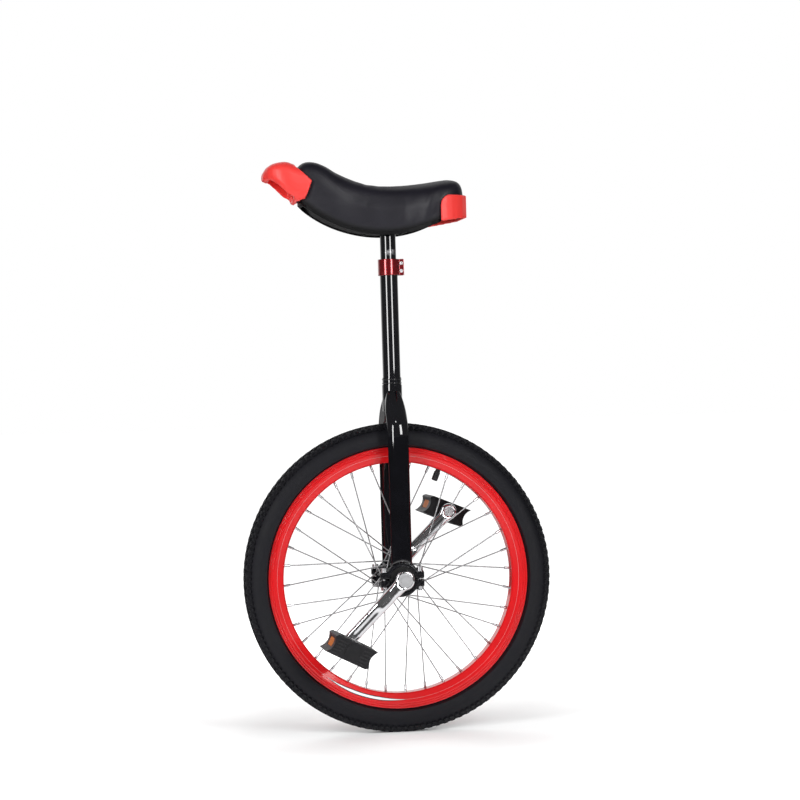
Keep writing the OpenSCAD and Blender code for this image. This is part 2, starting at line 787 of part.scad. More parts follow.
// Screwed cap over the end of the valve, with a rounded tip and grip flutes
module valve_cap() {
    r = valve_d / 2 + 1;
    body = valve_l - valve_bare;
    tip_r = 2;
    flutes = 12;
    color("black") on_valve(bed_r - valve_l) difference() {
        rotate_extrude() {
            square([r - tip_r, body]);
            translate([0, tip_r]) square([r, body - tip_r]);
            translate([r - tip_r, tip_r]) circle(r = tip_r);
        }
        translate([0, 0, body - valve_d - loose]) cylinder(h = body, r = valve_d / 2 + fit);
        for (i = [0 : flutes - 1]) rotate(i * 360 / flutes)
            translate([r + fit, 0, 2 * tip_r]) cylinder(h = body, r = r / 9);
    }
}

// Places a part on the valve's radius, with z pointing out to the rim
module on_valve(r) {
    on_axle() rotate(valve_angle - 90) rotate([0, 90, 0]) translate([0, 0, r]) children();
}

// Hub with a waisted barrel and two drilled flanges
module hub_shell() {
    half = flange_span / 2;
    face_in = half - flange_t / 2;
    face_out = half + flange_t / 2;
    flange_out = pcd_r + spoke_d * 1.75;
    bore = axle_d / 2 + fit;
    neck = axle_d / 2 + 3.5;
    root = 4;
    end = bearing_in_y - 2;
    side = [[bore, end], [neck, end], [neck, face_out], [pcd_r + head_r, face_out], [flange_out, half],
            [flange_out, face_in], [barrel_d / 2 + root, face_in], [barrel_d / 2, face_in - root]];
    color("silver") on_axle() difference() {
        rotate_extrude()
            polygon(concat(side, [for (i = [len(side) - 1 : -1 : 0]) [side[i].x, -side[i].y]]));
        for (k = [0 : spoke_n - 1]) let (p = hub_point(k))
            translate([p.x, p.y, spoke_side(k) * half])
                cylinder(h = 2 * flange_t, r = spoke_r * 1.08 + loose / 2, center = true);
    }
}

// Square end that narrows towards its tip, as the meeting of two wedges
module square_taper_end(play) {
    big = square_big_w / 2 + play;
    small = square_w / 2 + play;
    module wedge() {
        rotate([90, 0, 0]) linear_extrude(4 * big, center = true)
            polygon([[-big, 0], [big, 0], [small, square_l], [-small, square_l]]);
    }
    intersection() {
        wedge();
        rotate(90) wedge();
    }
}

module axle() {
    end_r = square_big_w / 2 * 0.98;
    bolt_l = 24;
    color("dimgray") on_axle() rotate(crank_angle) difference() {
        union() {
            translate([0, 0, -bearing_in_y]) cylinder(h = 2 * bearing_in_y, r = axle_d / 2);
            translate([0, 0, -bearing_out_y - 1])
                cylinder(h = 2 * (bearing_out_y + 1), r = bearing_bore_d / 2);
            translate([0, 0, -crank_y]) cylinder(h = 2 * crank_y, r = end_r);
            for (side = [0, 1]) mirror([0, 0, side]) translate([0, 0, crank_y - fit]) square_taper_end(0);
        }
        for (side = [0, 1]) mirror([0, 0, side])
            translate([0, 0, crank_y + square_l - bolt_l])
                cylinder(h = bolt_l + over, r = crank_bolt_r + fit);
    }
}

// Outline of the crank seen along the axle, with the boss at the origin
module crank_outline() {
    neck = crank_neck_w / 2;
    tip = crank_tip_w / 2;
    eye_r = crank_eye_d / 2;
    circle(r = crank_boss_d / 2);
    translate([crank_l, 0]) circle(r = eye_r);
    polygon([[0, -neck], [crank_l * 0.55, -tip], [crank_l - eye_r, -tip], [crank_l, -eye_r * 0.96],
             [crank_l, eye_r * 0.96], [crank_l - eye_r, tip], [crank_l * 0.55, tip], [0, neck]]);
}

// Outline of the crank seen from its edge: x along the arm, y out from the frame
module crank_edge() {
    boss = crank_boss_d / 2 + 1;
    end = crank_l + crank_eye_d;
    polygon([[-boss, 0], [boss, 0], [crank_arm_x - 2, arm_in], [crank_bend_x, eye_in], [end, eye_in],
             [end, eye_out], [crank_bend_x, eye_in + crank_arm_t], [crank_arm_x, arm_in + crank_arm_t],
             [boss, crank_boss_l], [-boss, crank_boss_l]]);
}

// Everything outside the arm's outer face, less some depth
module outside_arm(depth) {
    polygon([[crank_bend_x, eye_in + crank_arm_t - depth], [crank_eye_x, eye_out - depth],
             [crank_eye_x, 2 * eye_out], [crank_bend_x, 2 * eye_out]]);
}

// Oblong outline of the shallow pocket in the arm's outer face
module crank_pocket() {
    from = crank_bend_x + crank_tip_w / 2;
    to = crank_eye_x - crank_tip_w / 2;
    r = crank_tip_w / 2 - 4;
    translate([from, -r]) square([to - from, 2 * r]);
    for (x = [from, to]) translate([x, 0]) circle(r = r);
}

// Solid with a given outline seen along the axle and another seen from the arm's edge
module crank_solid() {
    intersection() {
        linear_extrude(2 * eye_out) children(0);
        translate([0, crank_l, 0]) rotate([90, 0, 0]) linear_extrude(2 * crank_l) children(1);
    }
}

module crank() {
    difference() {
        crank_solid() {
            crank_outline();
            crank_edge();
        }
        crank_solid() {
            crank_pocket();
            outside_arm(crank_pocket_t);
        }
        square_taper_end(fit);
        cylinder(h = crank_boss_l, r = crank_bolt_r + loose);
        translate([0, 0, square_l + crank_seat]) cylinder(h = crank_boss_l, r = crank_socket_r);
        translate([crank_l, 0, 0]) cylinder(h = 2 * eye_out, r = pedal_thread_d / 2 + fit);
    }
}

// Places a part on the left or right crank, with z pointing out along the axle
module on_left_crank() {
    on_axle() rotate(crank_angle) translate([0, 0, crank_y]) children();
}

module on_right_crank() {
    on_axle() rotate(crank_angle + 180) mirror([0, 0, 1]) translate([0, 0, crank_y]) children();
}

module left_crank() {
    color("silver") on_left_crank() crank();
}

module right_crank() {
    color("silver") on_right_crank() crank();
}

module crank_bolt() {
    shank_l = 16;
    translate([0, 0, square_l + crank_seat]) hexagon(crank_bolt_head_r * 2, 3);
    translate([0, 0, square_l + crank_seat - shank_l]) cylinder(h = shank_l, r = crank_bolt_r);
}

module crank_bolts() {
    color("dimgray") {
        on_left_crank() crank_bolt();
        on_right_crank() crank_bolt();
    }
}

// Round cap in the mouth of the crank boss
module dust_cap() {
    r = crank_socket_r - fit;
    translate([0, 0, crank_boss_l - cap_t]) rotate_extrude() {
        square([r, cap_t]);
        translate([r - 2, -0.4]) square([2, cap_t + 0.4]);
    }
}

module dust_caps() {
    color([0.62, 0.62, 0.63]) {
        on_left_crank() dust_cap();
        on_right_crank() dust_cap();
    }
}

// Places a part on a pedal spindle, with z out from the pedal eye's outer face
module on_left_pedal(tilt) {
    on_left_crank() translate([crank_l, 0, eye_out]) rotate(tilt - crank_angle) children();
}

module on_right_pedal(tilt) {
    on_right_crank() translate([crank_l, 0, eye_out])
        rotate(tilt - crank_angle - 180) children();
}

// Spindle screwed into the crank, with a collar for a spanner, a plain journal and an end nut
module pedal_spindle() {
    r = spindle_d / 2;
    flat = pedal_thread_d / 2;
    collar_r = flat + 2.4;
    end = pedal_out - nut_socket_l;
    translate([0, 0, -crank_eye_t]) cylinder(h = crank_eye_t, r = pedal_thread_d / 2);
    intersection() {
        cylinder(h = collar_t, r = collar_r);
        cube([4 * collar_r, 2 * flat, 4 * collar_t], center = true);
    }
    cylinder(h = end + nut_t + 1, r = r);
    translate([0, 0, end + loose]) hexagon(2 * r + 5, nut_t - loose);
}

module left_pedal_spindle() {
    color("silver") on_left_pedal(0) pedal_spindle();
}

module right_pedal_spindle() {
    color("silver") on_right_pedal(0) pedal_spindle();
}

// Leaning side outline of the pedal: x front to back, y down, hollowed ends and ridged treads
module pedal_outline() {
    hollow_r = pedal_h * 0.62;
    chamfer = 3;
    half = pedal_l / 2;
    low = pedal_h / 2;
    corners = [[half - chamfer, low], [half, low - chamfer], [half, chamfer - low], [half - chamfer, -low]];
    leaning = [for (q = corners) q + [q.y * pedal_lean / pedal_h, 0]];
    difference() {
        polygon(concat(leaning, -leaning));
        for (s = [-1, 1]) translate([s * (half + hollow_r - pedal_hollow), 0]) circle(r = hollow_r);
        for (s = [-1, 1], i = [0 : 2], t = [-1, 1])
            translate([s * (half - pedal_block * (0.4 + 0.2 * i)) + t * pedal_lean / 2, t * low])
                square([pedal_block * 0.1, 2 * pedal_ridge], center = true);
    }
}

// Plan of the pedal with its two outer corners cut back: x front to back, y out along the spindle
module pedal_plan() {
    half = (pedal_l + pedal_lean) / 2 + over;
    cut = pedal_w * 0.1;
    polygon([[-half, pedal_in], [half, pedal_in], [half, pedal_out - cut], [half - cut, pedal_out],
             [cut - half, pedal_out], [-half, pedal_out - cut]]);
}

// Openings between the barrel and the two tread blocks
module pedal_windows() {
    from = barrel_r + 1.5;
    to = pedal_l / 2 - pedal_block;
    for (s = [-1, 1]) translate([s * (from + to) / 2, 0, pedal_in + pedal_w / 2])
        cube([to - from, 2 * pedal_h, pedal_w - 2 * pedal_wall], center = true);
}

// Block in each end of the pedal, from the reflector's back out by some length
module reflector_place(l, play) {
    back = pedal_l / 2 - pedal_hollow - reflector_t;
    for (s = [-1, 1]) translate([s * (back + l / 2), 0, pedal_in + pedal_w / 2])
        cube([l, pedal_h * 0.42 + 2 * play, pedal_w * 0.5 + 2 * play], center = true);
}

module pedal_body() {
    groove_l = pedal_l / 2 - pedal_hollow - barrel_r - 3;
    difference() {
        union() {
            intersection() {
                translate([0, 0, pedal_in]) linear_extrude(pedal_w) pedal_outline();
                translate([0, pedal_h, 0]) rotate([90, 0, 0]) linear_extrude(2 * pedal_h) pedal_plan();
            }
            translate([0, 0, pedal_in]) cylinder(h = pedal_w, r = barrel_r);
        }
        pedal_windows();
        reflector_place(pedal_l / 4, fit);
        cylinder(h = 2 * pedal_out, r = spindle_d / 2 + loose);
        translate([0, 0, pedal_in - over]) cylinder(h = bush_l + over, r = bush_r + fit);
        translate([0, 0, pedal_out - nut_socket_l - bush_l]) cylinder(h = 2 * bush_l, r = bush_r + fit);
        translate([0, 0, pedal_out - nut_socket_l]) cylinder(h = 2 * nut_socket_l, r = nut_socket_r);
        for (y = [-2 : 2], s = [-1, 1])
            translate([s * (barrel_r + groove_l * 0.6) + y * pedal_lean / 6, y * pedal_h / 6, pedal_out])
                cube([groove_l, pedal_h * 0.07, 2 * pedal_ridge], center = true);
    }
}

module pedal_bushes() {
    for (z = [pedal_in, pedal_out - nut_socket_l - bush_l])
        translate([0, 0, z]) ring(spindle_d / 2 + fit, bush_r, bush_l);
}

module pedal_cap() {
    translate([0, 0, pedal_out - 3]) cylinder(h = 3, r = nut_socket_r - fit);
    translate([0, 0, pedal_out]) cylinder(h = 1.2, r = barrel_r - 0.5);
}

module left_pedal_body() {
    color([0.13, 0.13, 0.14]) on_left_pedal(-left_pedal_tilt) pedal_body();
}

module right_pedal_body() {
    color([0.13, 0.13, 0.14]) on_right_pedal(-right_pedal_tilt) pedal_body();
}

module left_pedal_bushes() {
    color("darkgoldenrod") on_left_pedal(-left_pedal_tilt) pedal_bushes();
}

module right_pedal_bushes() {
    color("darkgoldenrod") on_right_pedal(-right_pedal_tilt) pedal_bushes();
}

module left_pedal_cap() {
    color([0.13, 0.13, 0.14]) on_left_pedal(-left_pedal_tilt) pedal_cap();
}

module right_pedal_cap() {
    color([0.13, 0.13, 0.14]) on_right_pedal(-right_pedal_tilt) pedal_cap();
}

module left_pedal_reflectors() {
    color("orange") on_left_pedal(-left_pedal_tilt) reflector_place(reflector_t, 0);
}

module right_pedal_reflectors() {
    color("orange") on_right_pedal(-right_pedal_tilt) reflector_place(reflector_t, 0);
}

// Tube that slides in the seat tube, closed on top by its plate
module seatpost() {
    color([0.07, 0.07, 0.08]) translate([0, 0, plate_z - post_l])
        ring(post_d / 2 - post_wall, post_d / 2, post_l);
}

// Repeats a part at the four bolts of the saddle
module at_studs() {
    for (x = [-1, 1], y = [-1, 1]) translate([saddle_low_x + x * stud_x, y * stud_y, 0]) children();
}

module post_plate() {
    corner = 8;
    color([0.1, 0.1, 0.1]) difference() {
        translate([saddle_low_x, 0, plate_z]) linear_extrude(plate_t) union() {
            square([plate_l - 2 * corner, plate_w], center = true);
            square([plate_l, plate_w - 2 * corner], center = true);
            for (x = [-1, 1], y = [-1, 1])
                translate([x * (plate_l / 2 - corner), y * (plate_w / 2 - corner)]) circle(r = corner);
        }
        at_studs() translate([0, 0, plate_z - over])
            cylinder(h = plate_t + 2 * over, r = saddle_bolt_d / 2 + loose);
    }
}

// Half width of the pad along its length, and the height of its crest over the lowest edge
pad_half = [
    [-pad_rear, pad_tail_w * 0.36], [-pad_rear * 0.8, pad_tail_w * 0.47],
    [-pad_rear * 0.56, pad_tail_w * 0.5], [-pad_rear * 0.2, pad_waist_w * 0.62],
    [pad_front * 0.3, pad_waist_w / 2],
    [pad_front * 0.75, pad_nose_w / 2], [pad_front, pad_nose_w * 0.42]
];
pad_crest = [
    [-pad_rear, pad_tail_h - 3], [-pad_rear * 0.88, pad_tail_h], [-pad_rear * 0.4, pad_dip_h + 2],
    [pad_front * 0.04, pad_dip_h], [pad_front * 0.28, pad_dip_h + 5.5],
    [pad_front * 0.55, pad_nose_h * 0.825], [pad_front * 0.72, pad_nose_h - 5], [pad_front * 0.86, pad_nose_h], [pad_front, pad_nose_h - 5]
];
pad_rings = 26;
pad_sides = 28;
pad_round = 15;
pad_square = 3.2;
foot_square = 12;
pad_draw = 2.5;

// Height of the underside's arc at x, for an arc raised by some amount
function arc_at(x, up) = arc_z - sqrt((saddle_arc_r - up) ^ 2 - (x - saddle_low_x) ^ 2);
// Share of the full section that is left near a rounded end
function end_share(x, lo, hi) =
    let (d = min(x - lo, hi - x)) d >= pad_round ? 1 : sqrt(max(0, 1 - (1 - d / pad_round) ^ 2));
function signed_power(v, e) = sign(v) * abs(v) ^ e;

// One cross-section of the pad at x, grown outwards: a rounded top and a squarer, drawn-in foot
function pad_section(x, grow) =
    let (share = end_share(x, -pad_rear, pad_front),
         foot = arc_at(x, base_lip) - grow,
         crest = low_z + curve(pad_crest, x) + grow,
         rise = (crest - foot) * (0.55 + 0.45 * share),
         mid = foot + (crest - foot) * 0.52,
         half = curve(pad_half, x) * (0.7 + 0.3 * share) + grow)
    [for (i = [0 : pad_sides - 1]) let (
        a = i * 360 / pad_sides,
        power = 2 / (sin(a) > 0 ? pad_square : foot_square),
        v = signed_power(sin(a), power),
        draw = v > 0 ? 0.05 * half * v : -pad_draw * v)
        [(half - draw) * signed_power(cos(a), power), mid + v * rise / 2]];

// Loft through rings of points that share one count, closed at both ends
module loft(rings) {
    n = len(rings[0]);
    m = len(rings);
    points = [for (ring = rings) each ring];
    faces = [
        [for (i = [0 : n - 1]) n - 1 - i],
        [for (i = [0 : n - 1]) (m - 1) * n + i],
        for (j = [0 : m - 2], i = [0 : n - 1]) each [
            [j * n + i, j * n + (i + 1) % n, (j + 1) * n + i],
            [j * n + (i + 1) % n, (j + 1) * n + (i + 1) % n, (j + 1) * n + i]]
    ];
    polyhedron(points, faces);
}

// Stations along the pad, closer together at its ends
function pad_station(j) =
    let (t = j / pad_rings) -pad_rear + (pad_rear + pad_front) * (t - sin(720 * t / 2) / 7.5);

module pad_form(grow) {
    mid = (pad_front - pad_rear) / 2;
    stretch = 1 + 2 * grow / (pad_front + pad_rear);
    loft([for (j = [0 : pad_rings]) let (x = pad_station(j))
        [for (q = pad_section(x, grow)) [mid + (x - mid) * stretch, q.x, q.y]]]);
}

// Plan outline of the saddle, drawn in by some amount
module saddle_plan(inset) {
    steps = 30;
    lo = -pad_rear + inset;
    hi = pad_front - inset;
    along = [for (i = [0 : steps]) lo + (hi - lo) * i / steps];
    side = [for (x = along)
        [x, curve(pad_half, x) * (0.7 + 0.3 * end_share(x, lo - 1, hi + 1)) - inset]];
    polygon(concat(side, [for (i = [steps : -1 : 0]) [side[i].x, -side[i].y]]));
}

// Curved slab that follows the underside between two radii of its arc
module arc_slab(r_in, r_out) {
    translate([saddle_low_x, 0, arc_z]) rotate([90, 0, 0])
        translate([0, 0, -pad_tail_w]) difference() {
            cylinder(h = 2 * pad_tail_w, r = r_out);
            translate([0, 0, -over]) cylinder(h = 2 * pad_tail_w + 2 * over, r = r_in);
        }
}

module saddle_column(inset) {
    translate([0, 0, low_z - over]) linear_extrude(pad_nose_h) saddle_plan(inset);
}

// Repeats a part at the screws of the handle: z points into the base from the handle's back face
module at_nose_screws() {
    for (side = [-1, 1]) translate([handle_root, side * pad_nose_w * 0.14, low_z + pad_nose_h * 0.52])
        rotate([0, -90, 0]) children();
}

// Repeats a part at the screws of the bumper: z points into the base from the bumper's inner face
module at_tail_screws() {
    for (side = [-1, 1]) translate([-pad_rear - loose, side * pad_tail_w * 0.17, low_z + pad_tail_h * 0.56])
        rotate([0, 90, 0]) children();
}

// Spacer on the edge of the base that a trim screw goes into, and the hole for that screw
module trim_boss(play) {
    cylinder(h = loose + skirt_t + base_wall / 2, r = trim_screw_d + play);
}

module trim_hole(play) {
    cylinder(h = 8 * skirt_t, r = trim_screw_d / 2 + play, center = true);
}

// Moulded tray under the pad, with a boss for each saddle bolt
module saddle_base() {
    color([0.05, 0.05, 0.06]) difference() {
        union() {
            difference() {
                intersection() {
                    arc_slab(base_top_r, saddle_arc_r);
                    saddle_column(skirt_t);
                }
                intersection() {
                    arc_slab(base_under_r, saddle_arc_r + base_h);
                    saddle_column(skirt_t + base_wall);
                }
            }
            at_studs() translate([0, 0, plate_top_z]) cylinder(h = boss_l, r = saddle_bolt_d);
            at_nose_screws() trim_boss(0);
            at_tail_screws() trim_boss(0);
        }
        at_studs() translate([0, 0, plate_top_z - over])
            cylinder(h = boss_l + over, r = saddle_bolt_d / 2 + fit);
        at_nose_screws() trim_hole(fit);
        at_tail_screws() trim_hole(fit);
    }
}

module saddle_pad() {
    color([0.2, 0.19, 0.21]) difference() {
        pad_form(0);
        intersection() {
            arc_slab(base_top_r - loose, saddle_arc_r + base_h);
            saddle_column(skirt_t - loose);
        }
        at_nose_screws() translate([0, 0, -over]) trim_boss(loose);
        at_tail_screws() translate([0, 0, -over]) trim_boss(loose);
    }
}

// Side outline of the rear bumper, x forwards
module bumper_outline() {
    front = -pad_rear * 0.64;
    foot = low_z + pad_tail_h * 0.2;
    head = low_z + pad_tail_h * 0.7;
    arch = pad_tail_h * 0.2;
    translate([front - arch, head - arch]) circle(r = arch);
    polygon([[front, foot], [front, head - arch], [front - arch, head], [-2 * pad_rear, head],
             [-2 * pad_rear, foot + pad_tail_h * 0.25], [-pad_rear, foot + pad_tail_h * 0.07]]);
}

// Solid with the given outline seen from the side, across the whole saddle
module across_saddle() {
    translate([0, pad_tail_w, 0]) rotate([90, 0, 0]) linear_extrude(2 * pad_tail_w) children();
}

// Bumper round the tail
module rear_bumper() {
    color([0.95, 0.25, 0.23]) difference() {
        intersection() {
            across_saddle() bumper_outline();
            translate([0, 0, low_z]) linear_extrude(pad_tail_h) saddle_plan(-trim_t);
        }
        translate([0, 0, low_z]) linear_extrude(pad_tail_h) saddle_plan(-loose);
        at_tail_screws() trim_hole(loose);
    }
}

// Stations of the handle, 0 at the pad's nose and 1 at the tip: x, half width, lower and upper edge
function handle_station(t) =
    let (ahead = max(0, t),
         half = (pad_nose_w / 2 + trim_t) * sqrt(1 - 0.86 * ahead ^ 3),
         foot = curve([[0, 0.43], [0.3, 0.51], [0.55, 0.63], [0.75, 0.715], [1, 0.76]], ahead),
         head = curve([[0, 0.96], [0.25, 1.005], [0.5, 1], [0.75, 0.97], [0.9, 0.92], [1, 0.85]], ahead))
    [handle_root + (handle_front - handle_root) * t, half,
     low_z + foot * pad_nose_h, low_z + head * pad_nose_h];

// Squared oval ring of a handle station
function handle_ring(t) =
    let (s = handle_station(t), mid = (s[2] + s[3]) / 2, rise = s[3] - s[2])
    [for (i = [0 : pad_sides - 1]) let (a = i * 360 / pad_sides)
        [s[0], s[1] * signed_power(cos(a), 2 / pad_square),
         mid + rise / 2 * signed_power(sin(a), 2 / pad_square)]];

// Room for the fingers under the grip, inside its walls
module handle_cavity() {
    stations = [for (t = [cavity_from : 0.12 : 0.83]) handle_station(t)];
    side = [for (s = stations) [s[0], s[1] - handle_wall]];
    last = len(stations) - 1;
    intersection() {
        translate([0, 0, low_z]) linear_extrude(2 * pad_nose_h)
            polygon(concat(side, [for (i = [last : -1 : 0]) [side[i].x, -side[i].y]]));
        across_saddle() polygon(concat([for (s = stations) [s[0], s[3] - handle_wall]],
            [[side[last].x, low_z], [side[0].x, low_z]]));
    }
}

// Side outline of all that lies behind the wings' swept-back edge
module behind_wings() {
    root = handle_root + over;
    back = pad_front / 2;
    sweep = pad_front * 0.16;
    polygon([[back, low_z], [back, low_z + 2 * pad_nose_h], [root, low_z + 2 * pad_nose_h],
             [root, low_z + pad_nose_h * 0.93], [pad_front - sweep, low_z + pad_nose_h * 0.73],
             [pad_front - sweep / 2, low_z + pad_nose_h * 0.48], [root, low_z + pad_nose_h * 0.4],
             [root, low_z]]);
}

// Grip in front of the pad, open below for the fingers, with wings along the pad's nose
module front_handle() {
    steps = 12;
    color([0.95, 0.25, 0.23]) difference() {
        difference() {
            loft([for (i = [0 : steps]) handle_ring(1.56 * i / steps - 0.56)]);
            at_nose_screws() trim_hole(loose);
        }
        handle_cavity();
        translate([0, 0, low_z]) linear_extrude(2 * pad_nose_h) saddle_plan(-loose);
        across_saddle() behind_wings();
    }
}

module saddle_bolts() {
    grip = plate_t + nut_h + 1.5;
    color("silver") at_studs() translate([0, 0, plate_top_z - grip])
        cylinder(h = grip + boss_l - fit, r = saddle_bolt_d / 2);
}

module saddle_nuts() {
    color("silver") at_studs() translate([0, 0, plate_z - nut_h]) difference() {
        hexagon(saddle_bolt_d * 1.65, nut_h);
        translate([0, 0, -over]) cylinder(h = nut_h + 2 * over, r = saddle_bolt_d / 2 + fit);
    }
}

// Pan head screw through a wall of the trim into its boss
module trim_screw(wall) {
    head = 2;
    translate([0, 0, -wall - head]) cylinder(h = head, r = trim_screw_d);
    translate([0, 0, -wall]) cylinder(h = wall + skirt_t + base_wall / 2, r = trim_screw_d / 2);
}

module trim_screws() {
    color("silver") {
        at_nose_screws() trim_screw(handle_station(cavity_from)[0] - handle_root);
        at_tail_screws() trim_screw(trim_t - loose);
    }
}

seat_tube();
crown_sleeve();
left_leg();
right_leg();
left_housing();
right_housing();
left_bearing_cap();
right_bearing_cap();
housing_bolts();
housing_washers();
housing_nuts();
bearing_outer_races();
bearing_shields();
seat_clamp();
clamp_bolts();
tyre();
tyre_tread();
inner_tube();
rim_tape();
rim();
left_spokes();
right_spokes();
nipples();
valve_stem();
valve_cap();
hub_shell();
axle();
bearing_inner_races();
bearing_balls();
left_crank();
right_crank();
crank_bolts();
dust_caps();
left_pedal_spindle();
right_pedal_spindle();
left_pedal_body();
left_pedal_bushes();
left_pedal_cap();
left_pedal_reflectors();
right_pedal_body();
right_pedal_bushes();
right_pedal_cap();
right_pedal_reflectors();
seatpost();
post_plate();
saddle_base();
saddle_pad();
front_handle();
rear_bumper();
saddle_bolts();
saddle_nuts();
trim_screws();
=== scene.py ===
"""Finishes, soft saddle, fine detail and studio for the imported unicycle.

X points forward, Y left and Z up. Every length is in metres, and every piece stands in the frame of
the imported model.
"""

import json
import math

import bmesh
import bpy
from bpy.props import FloatProperty, FloatVectorProperty, IntProperty, PointerProperty
from mathutils import Matrix, Vector

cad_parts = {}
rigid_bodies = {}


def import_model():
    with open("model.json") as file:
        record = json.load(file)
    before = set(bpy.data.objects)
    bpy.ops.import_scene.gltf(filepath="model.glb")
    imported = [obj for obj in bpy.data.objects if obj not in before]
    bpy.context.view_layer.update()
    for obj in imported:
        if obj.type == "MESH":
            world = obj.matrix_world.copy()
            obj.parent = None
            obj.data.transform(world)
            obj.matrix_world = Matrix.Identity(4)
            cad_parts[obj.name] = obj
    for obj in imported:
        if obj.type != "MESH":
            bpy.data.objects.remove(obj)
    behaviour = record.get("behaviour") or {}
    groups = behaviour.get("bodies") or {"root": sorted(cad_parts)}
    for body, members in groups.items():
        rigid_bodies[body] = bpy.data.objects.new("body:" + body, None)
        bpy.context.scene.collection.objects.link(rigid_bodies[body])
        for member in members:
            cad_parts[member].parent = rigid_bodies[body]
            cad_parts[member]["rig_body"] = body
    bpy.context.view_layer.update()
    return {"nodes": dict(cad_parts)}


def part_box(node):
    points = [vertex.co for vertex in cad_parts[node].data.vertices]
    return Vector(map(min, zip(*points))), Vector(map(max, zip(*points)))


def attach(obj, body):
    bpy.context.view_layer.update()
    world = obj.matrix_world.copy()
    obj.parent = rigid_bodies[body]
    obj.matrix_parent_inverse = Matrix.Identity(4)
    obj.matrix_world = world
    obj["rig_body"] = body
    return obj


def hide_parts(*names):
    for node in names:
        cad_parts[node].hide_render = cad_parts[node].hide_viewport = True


bl_info = {
    "name": "Unicycle Looks",
    "version": (1, 0, 0),
    "blender": (4, 5, 0),
    "location": "View3D > Sidebar > Unicycle",
    "description": "Finishes, soft saddle, tyre lugs and studio for a packed unicycle",
    "category": "Object",
}

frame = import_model()
AXLE_Z = sum(corner.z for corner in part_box("tyre_tread")) / 2
PAD_LOW, PAD_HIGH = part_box("saddle_pad")
POST_MARKS_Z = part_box("seat_clamp")[1].z
MERGE_DISTANCE = 2e-6
SMOOTH_SHARE = 0.5


def colour(name, description, default):
    """Property for a plain colour."""
    return FloatVectorProperty(
        name=name, description=description, default=default, subtype="COLOR", size=3, min=0, max=1
    )


def length(name, description, default):
    """Property for a length in metres."""
    return FloatProperty(
        name=name, description=description, default=default, min=0, unit="LENGTH", precision=4
    )


def count(name, description, default):
    """Property for a whole number of steps or pieces."""
    return IntProperty(name=name, description=description, default=default, min=0)


def power(name, description, default):
    """Property for the power of a light in watts."""
    return FloatProperty(name=name, description=description, default=default, min=0, unit="POWER")


class UnicycleColours(bpy.types.PropertyGroup):
    """Colours of the paints, plastics, rubbers and metals"""

    frame_paint: colour("Frame Paint", "Gloss paint on frame and seatpost", (0.003, 0.003, 0.0042))
    rim_paint: colour("Rim Paint", "Gloss paint on the rim", (0.66, 0.0095, 0.0125))
    trim_red: colour("Trim", "Plastic of the handle and the bumper", (0.88, 0.042, 0.035))
    clamp_red: colour("Clamp", "Anodised metal of the seat clamp", (0.27, 0.003, 0.008))
    tyre_rubber: colour("Tyre Rubber", "Rubber of the tyre", (0.0030, 0.0030, 0.0052))
    vinyl: colour("Vinyl", "Cover of the saddle pad", (0.0062, 0.0054, 0.0105))
    pedal_plastic: colour("Pedal Plastic", "Moulded plastic of the pedals", (0.0065, 0.0062, 0.0075))
    amber: colour("Reflector", "Plastic of the pedal reflectors", (0.72, 0.18, 0.006))
    cap_grey: colour("Cap", "Plastic of the crank caps", (0.40, 0.40, 0.41))
    bright_steel: colour("Bright Steel", "Plated steel of cranks and spokes", (0.72, 0.72, 0.74))


class UnicycleSaddle(bpy.types.PropertyGroup):
    """Making of the padded saddle"""

    voxel: length("Voxel", "Cell size of the pad's mesh before it is filled", 0.0028)
    inset: length("Inset", "How far the pad is drawn in before it is filled", 0.0006)
    smoothing: count("Smoothing", "Smoothing steps after the filling", 9)
    arc_x: length("Arc X", "Place of the lowest point of the curved underside", 0.006)
    arc_z: length("Arc Z", "Height of the centre of the curved underside", 1.0005)
    arc_r: length("Arc Radius", "Radius of the curved underside", 0.198)
    tray_h: length("Tray Height", "Height of the hollow for the tray", 0.017)
    # The band of this height along the lower edge is darkened in the cover as painted shade under the pad.
    hem: length("Hem", "Height of the dark hem along the lower edge", 0.012)
    wrap: length("Wrap", "How far the cover is pulled down over the tray", 0.0045)
    cap: length("Cap", "Furthest that the filling may push a point", 0.0015)
    pressure: FloatProperty(name="Pressure", description="Pressure of the filling", default=4.0, min=0)
    frames: count("Frames", "Steps of the simulation", 20)
    fill: FloatProperty(name="Fill", description="How tight the pad is", default=0.8, min=0, max=1)
    crease: length("Crease", "Depth of the pulls in the cover beside the tail", 0.0007)


class UnicycleDetail(bpy.types.PropertyGroup):
    """Rounded edges and tyre lugs"""

    crank_cell: length("Crank Cell", "Cell size of the rounded cranks", 0.0009)
    crank_push: length("Crank Push", "Thickness given back to the cranks after smoothing", 0.00042)
    cast_cell: length("Cast Cell", "Cell size of the rounded housings", 0.0008)
    pedal_cell: length("Pedal Cell", "Cell size of the rounded pedals", 0.0008)
    clamp_cell: length("Clamp Cell", "Cell size of the rounded seat clamp", 0.0005)
    leg_cell: length("Leg Cell", "Cell size of the rounded legs", 0.0011)
    leg_rounding: count("Leg Rounding", "Smoothing steps on the legs", 12)
    trim_cell: length("Trim Cell", "Cell size of the rounded trim", 0.0014)
    rounding: count("Rounding", "Smoothing steps on rounded pieces", 5)
    crank_rounding: count("Crank Rounding", "Smoothing steps in each round on the cranks", 16)
    crank_rounds: count("Crank Rounds", "Rounds of smoothing on the cranks", 4)
    pedal_rounding: count("Pedal Rounding", "Smoothing steps on the pedals", 2)
    lugs: count("Lugs", "Shoulder lugs on each side of the tyre", 156)
    lug_height: length("Lug Height", "How far a lug stands out of the casing", 0.0028)


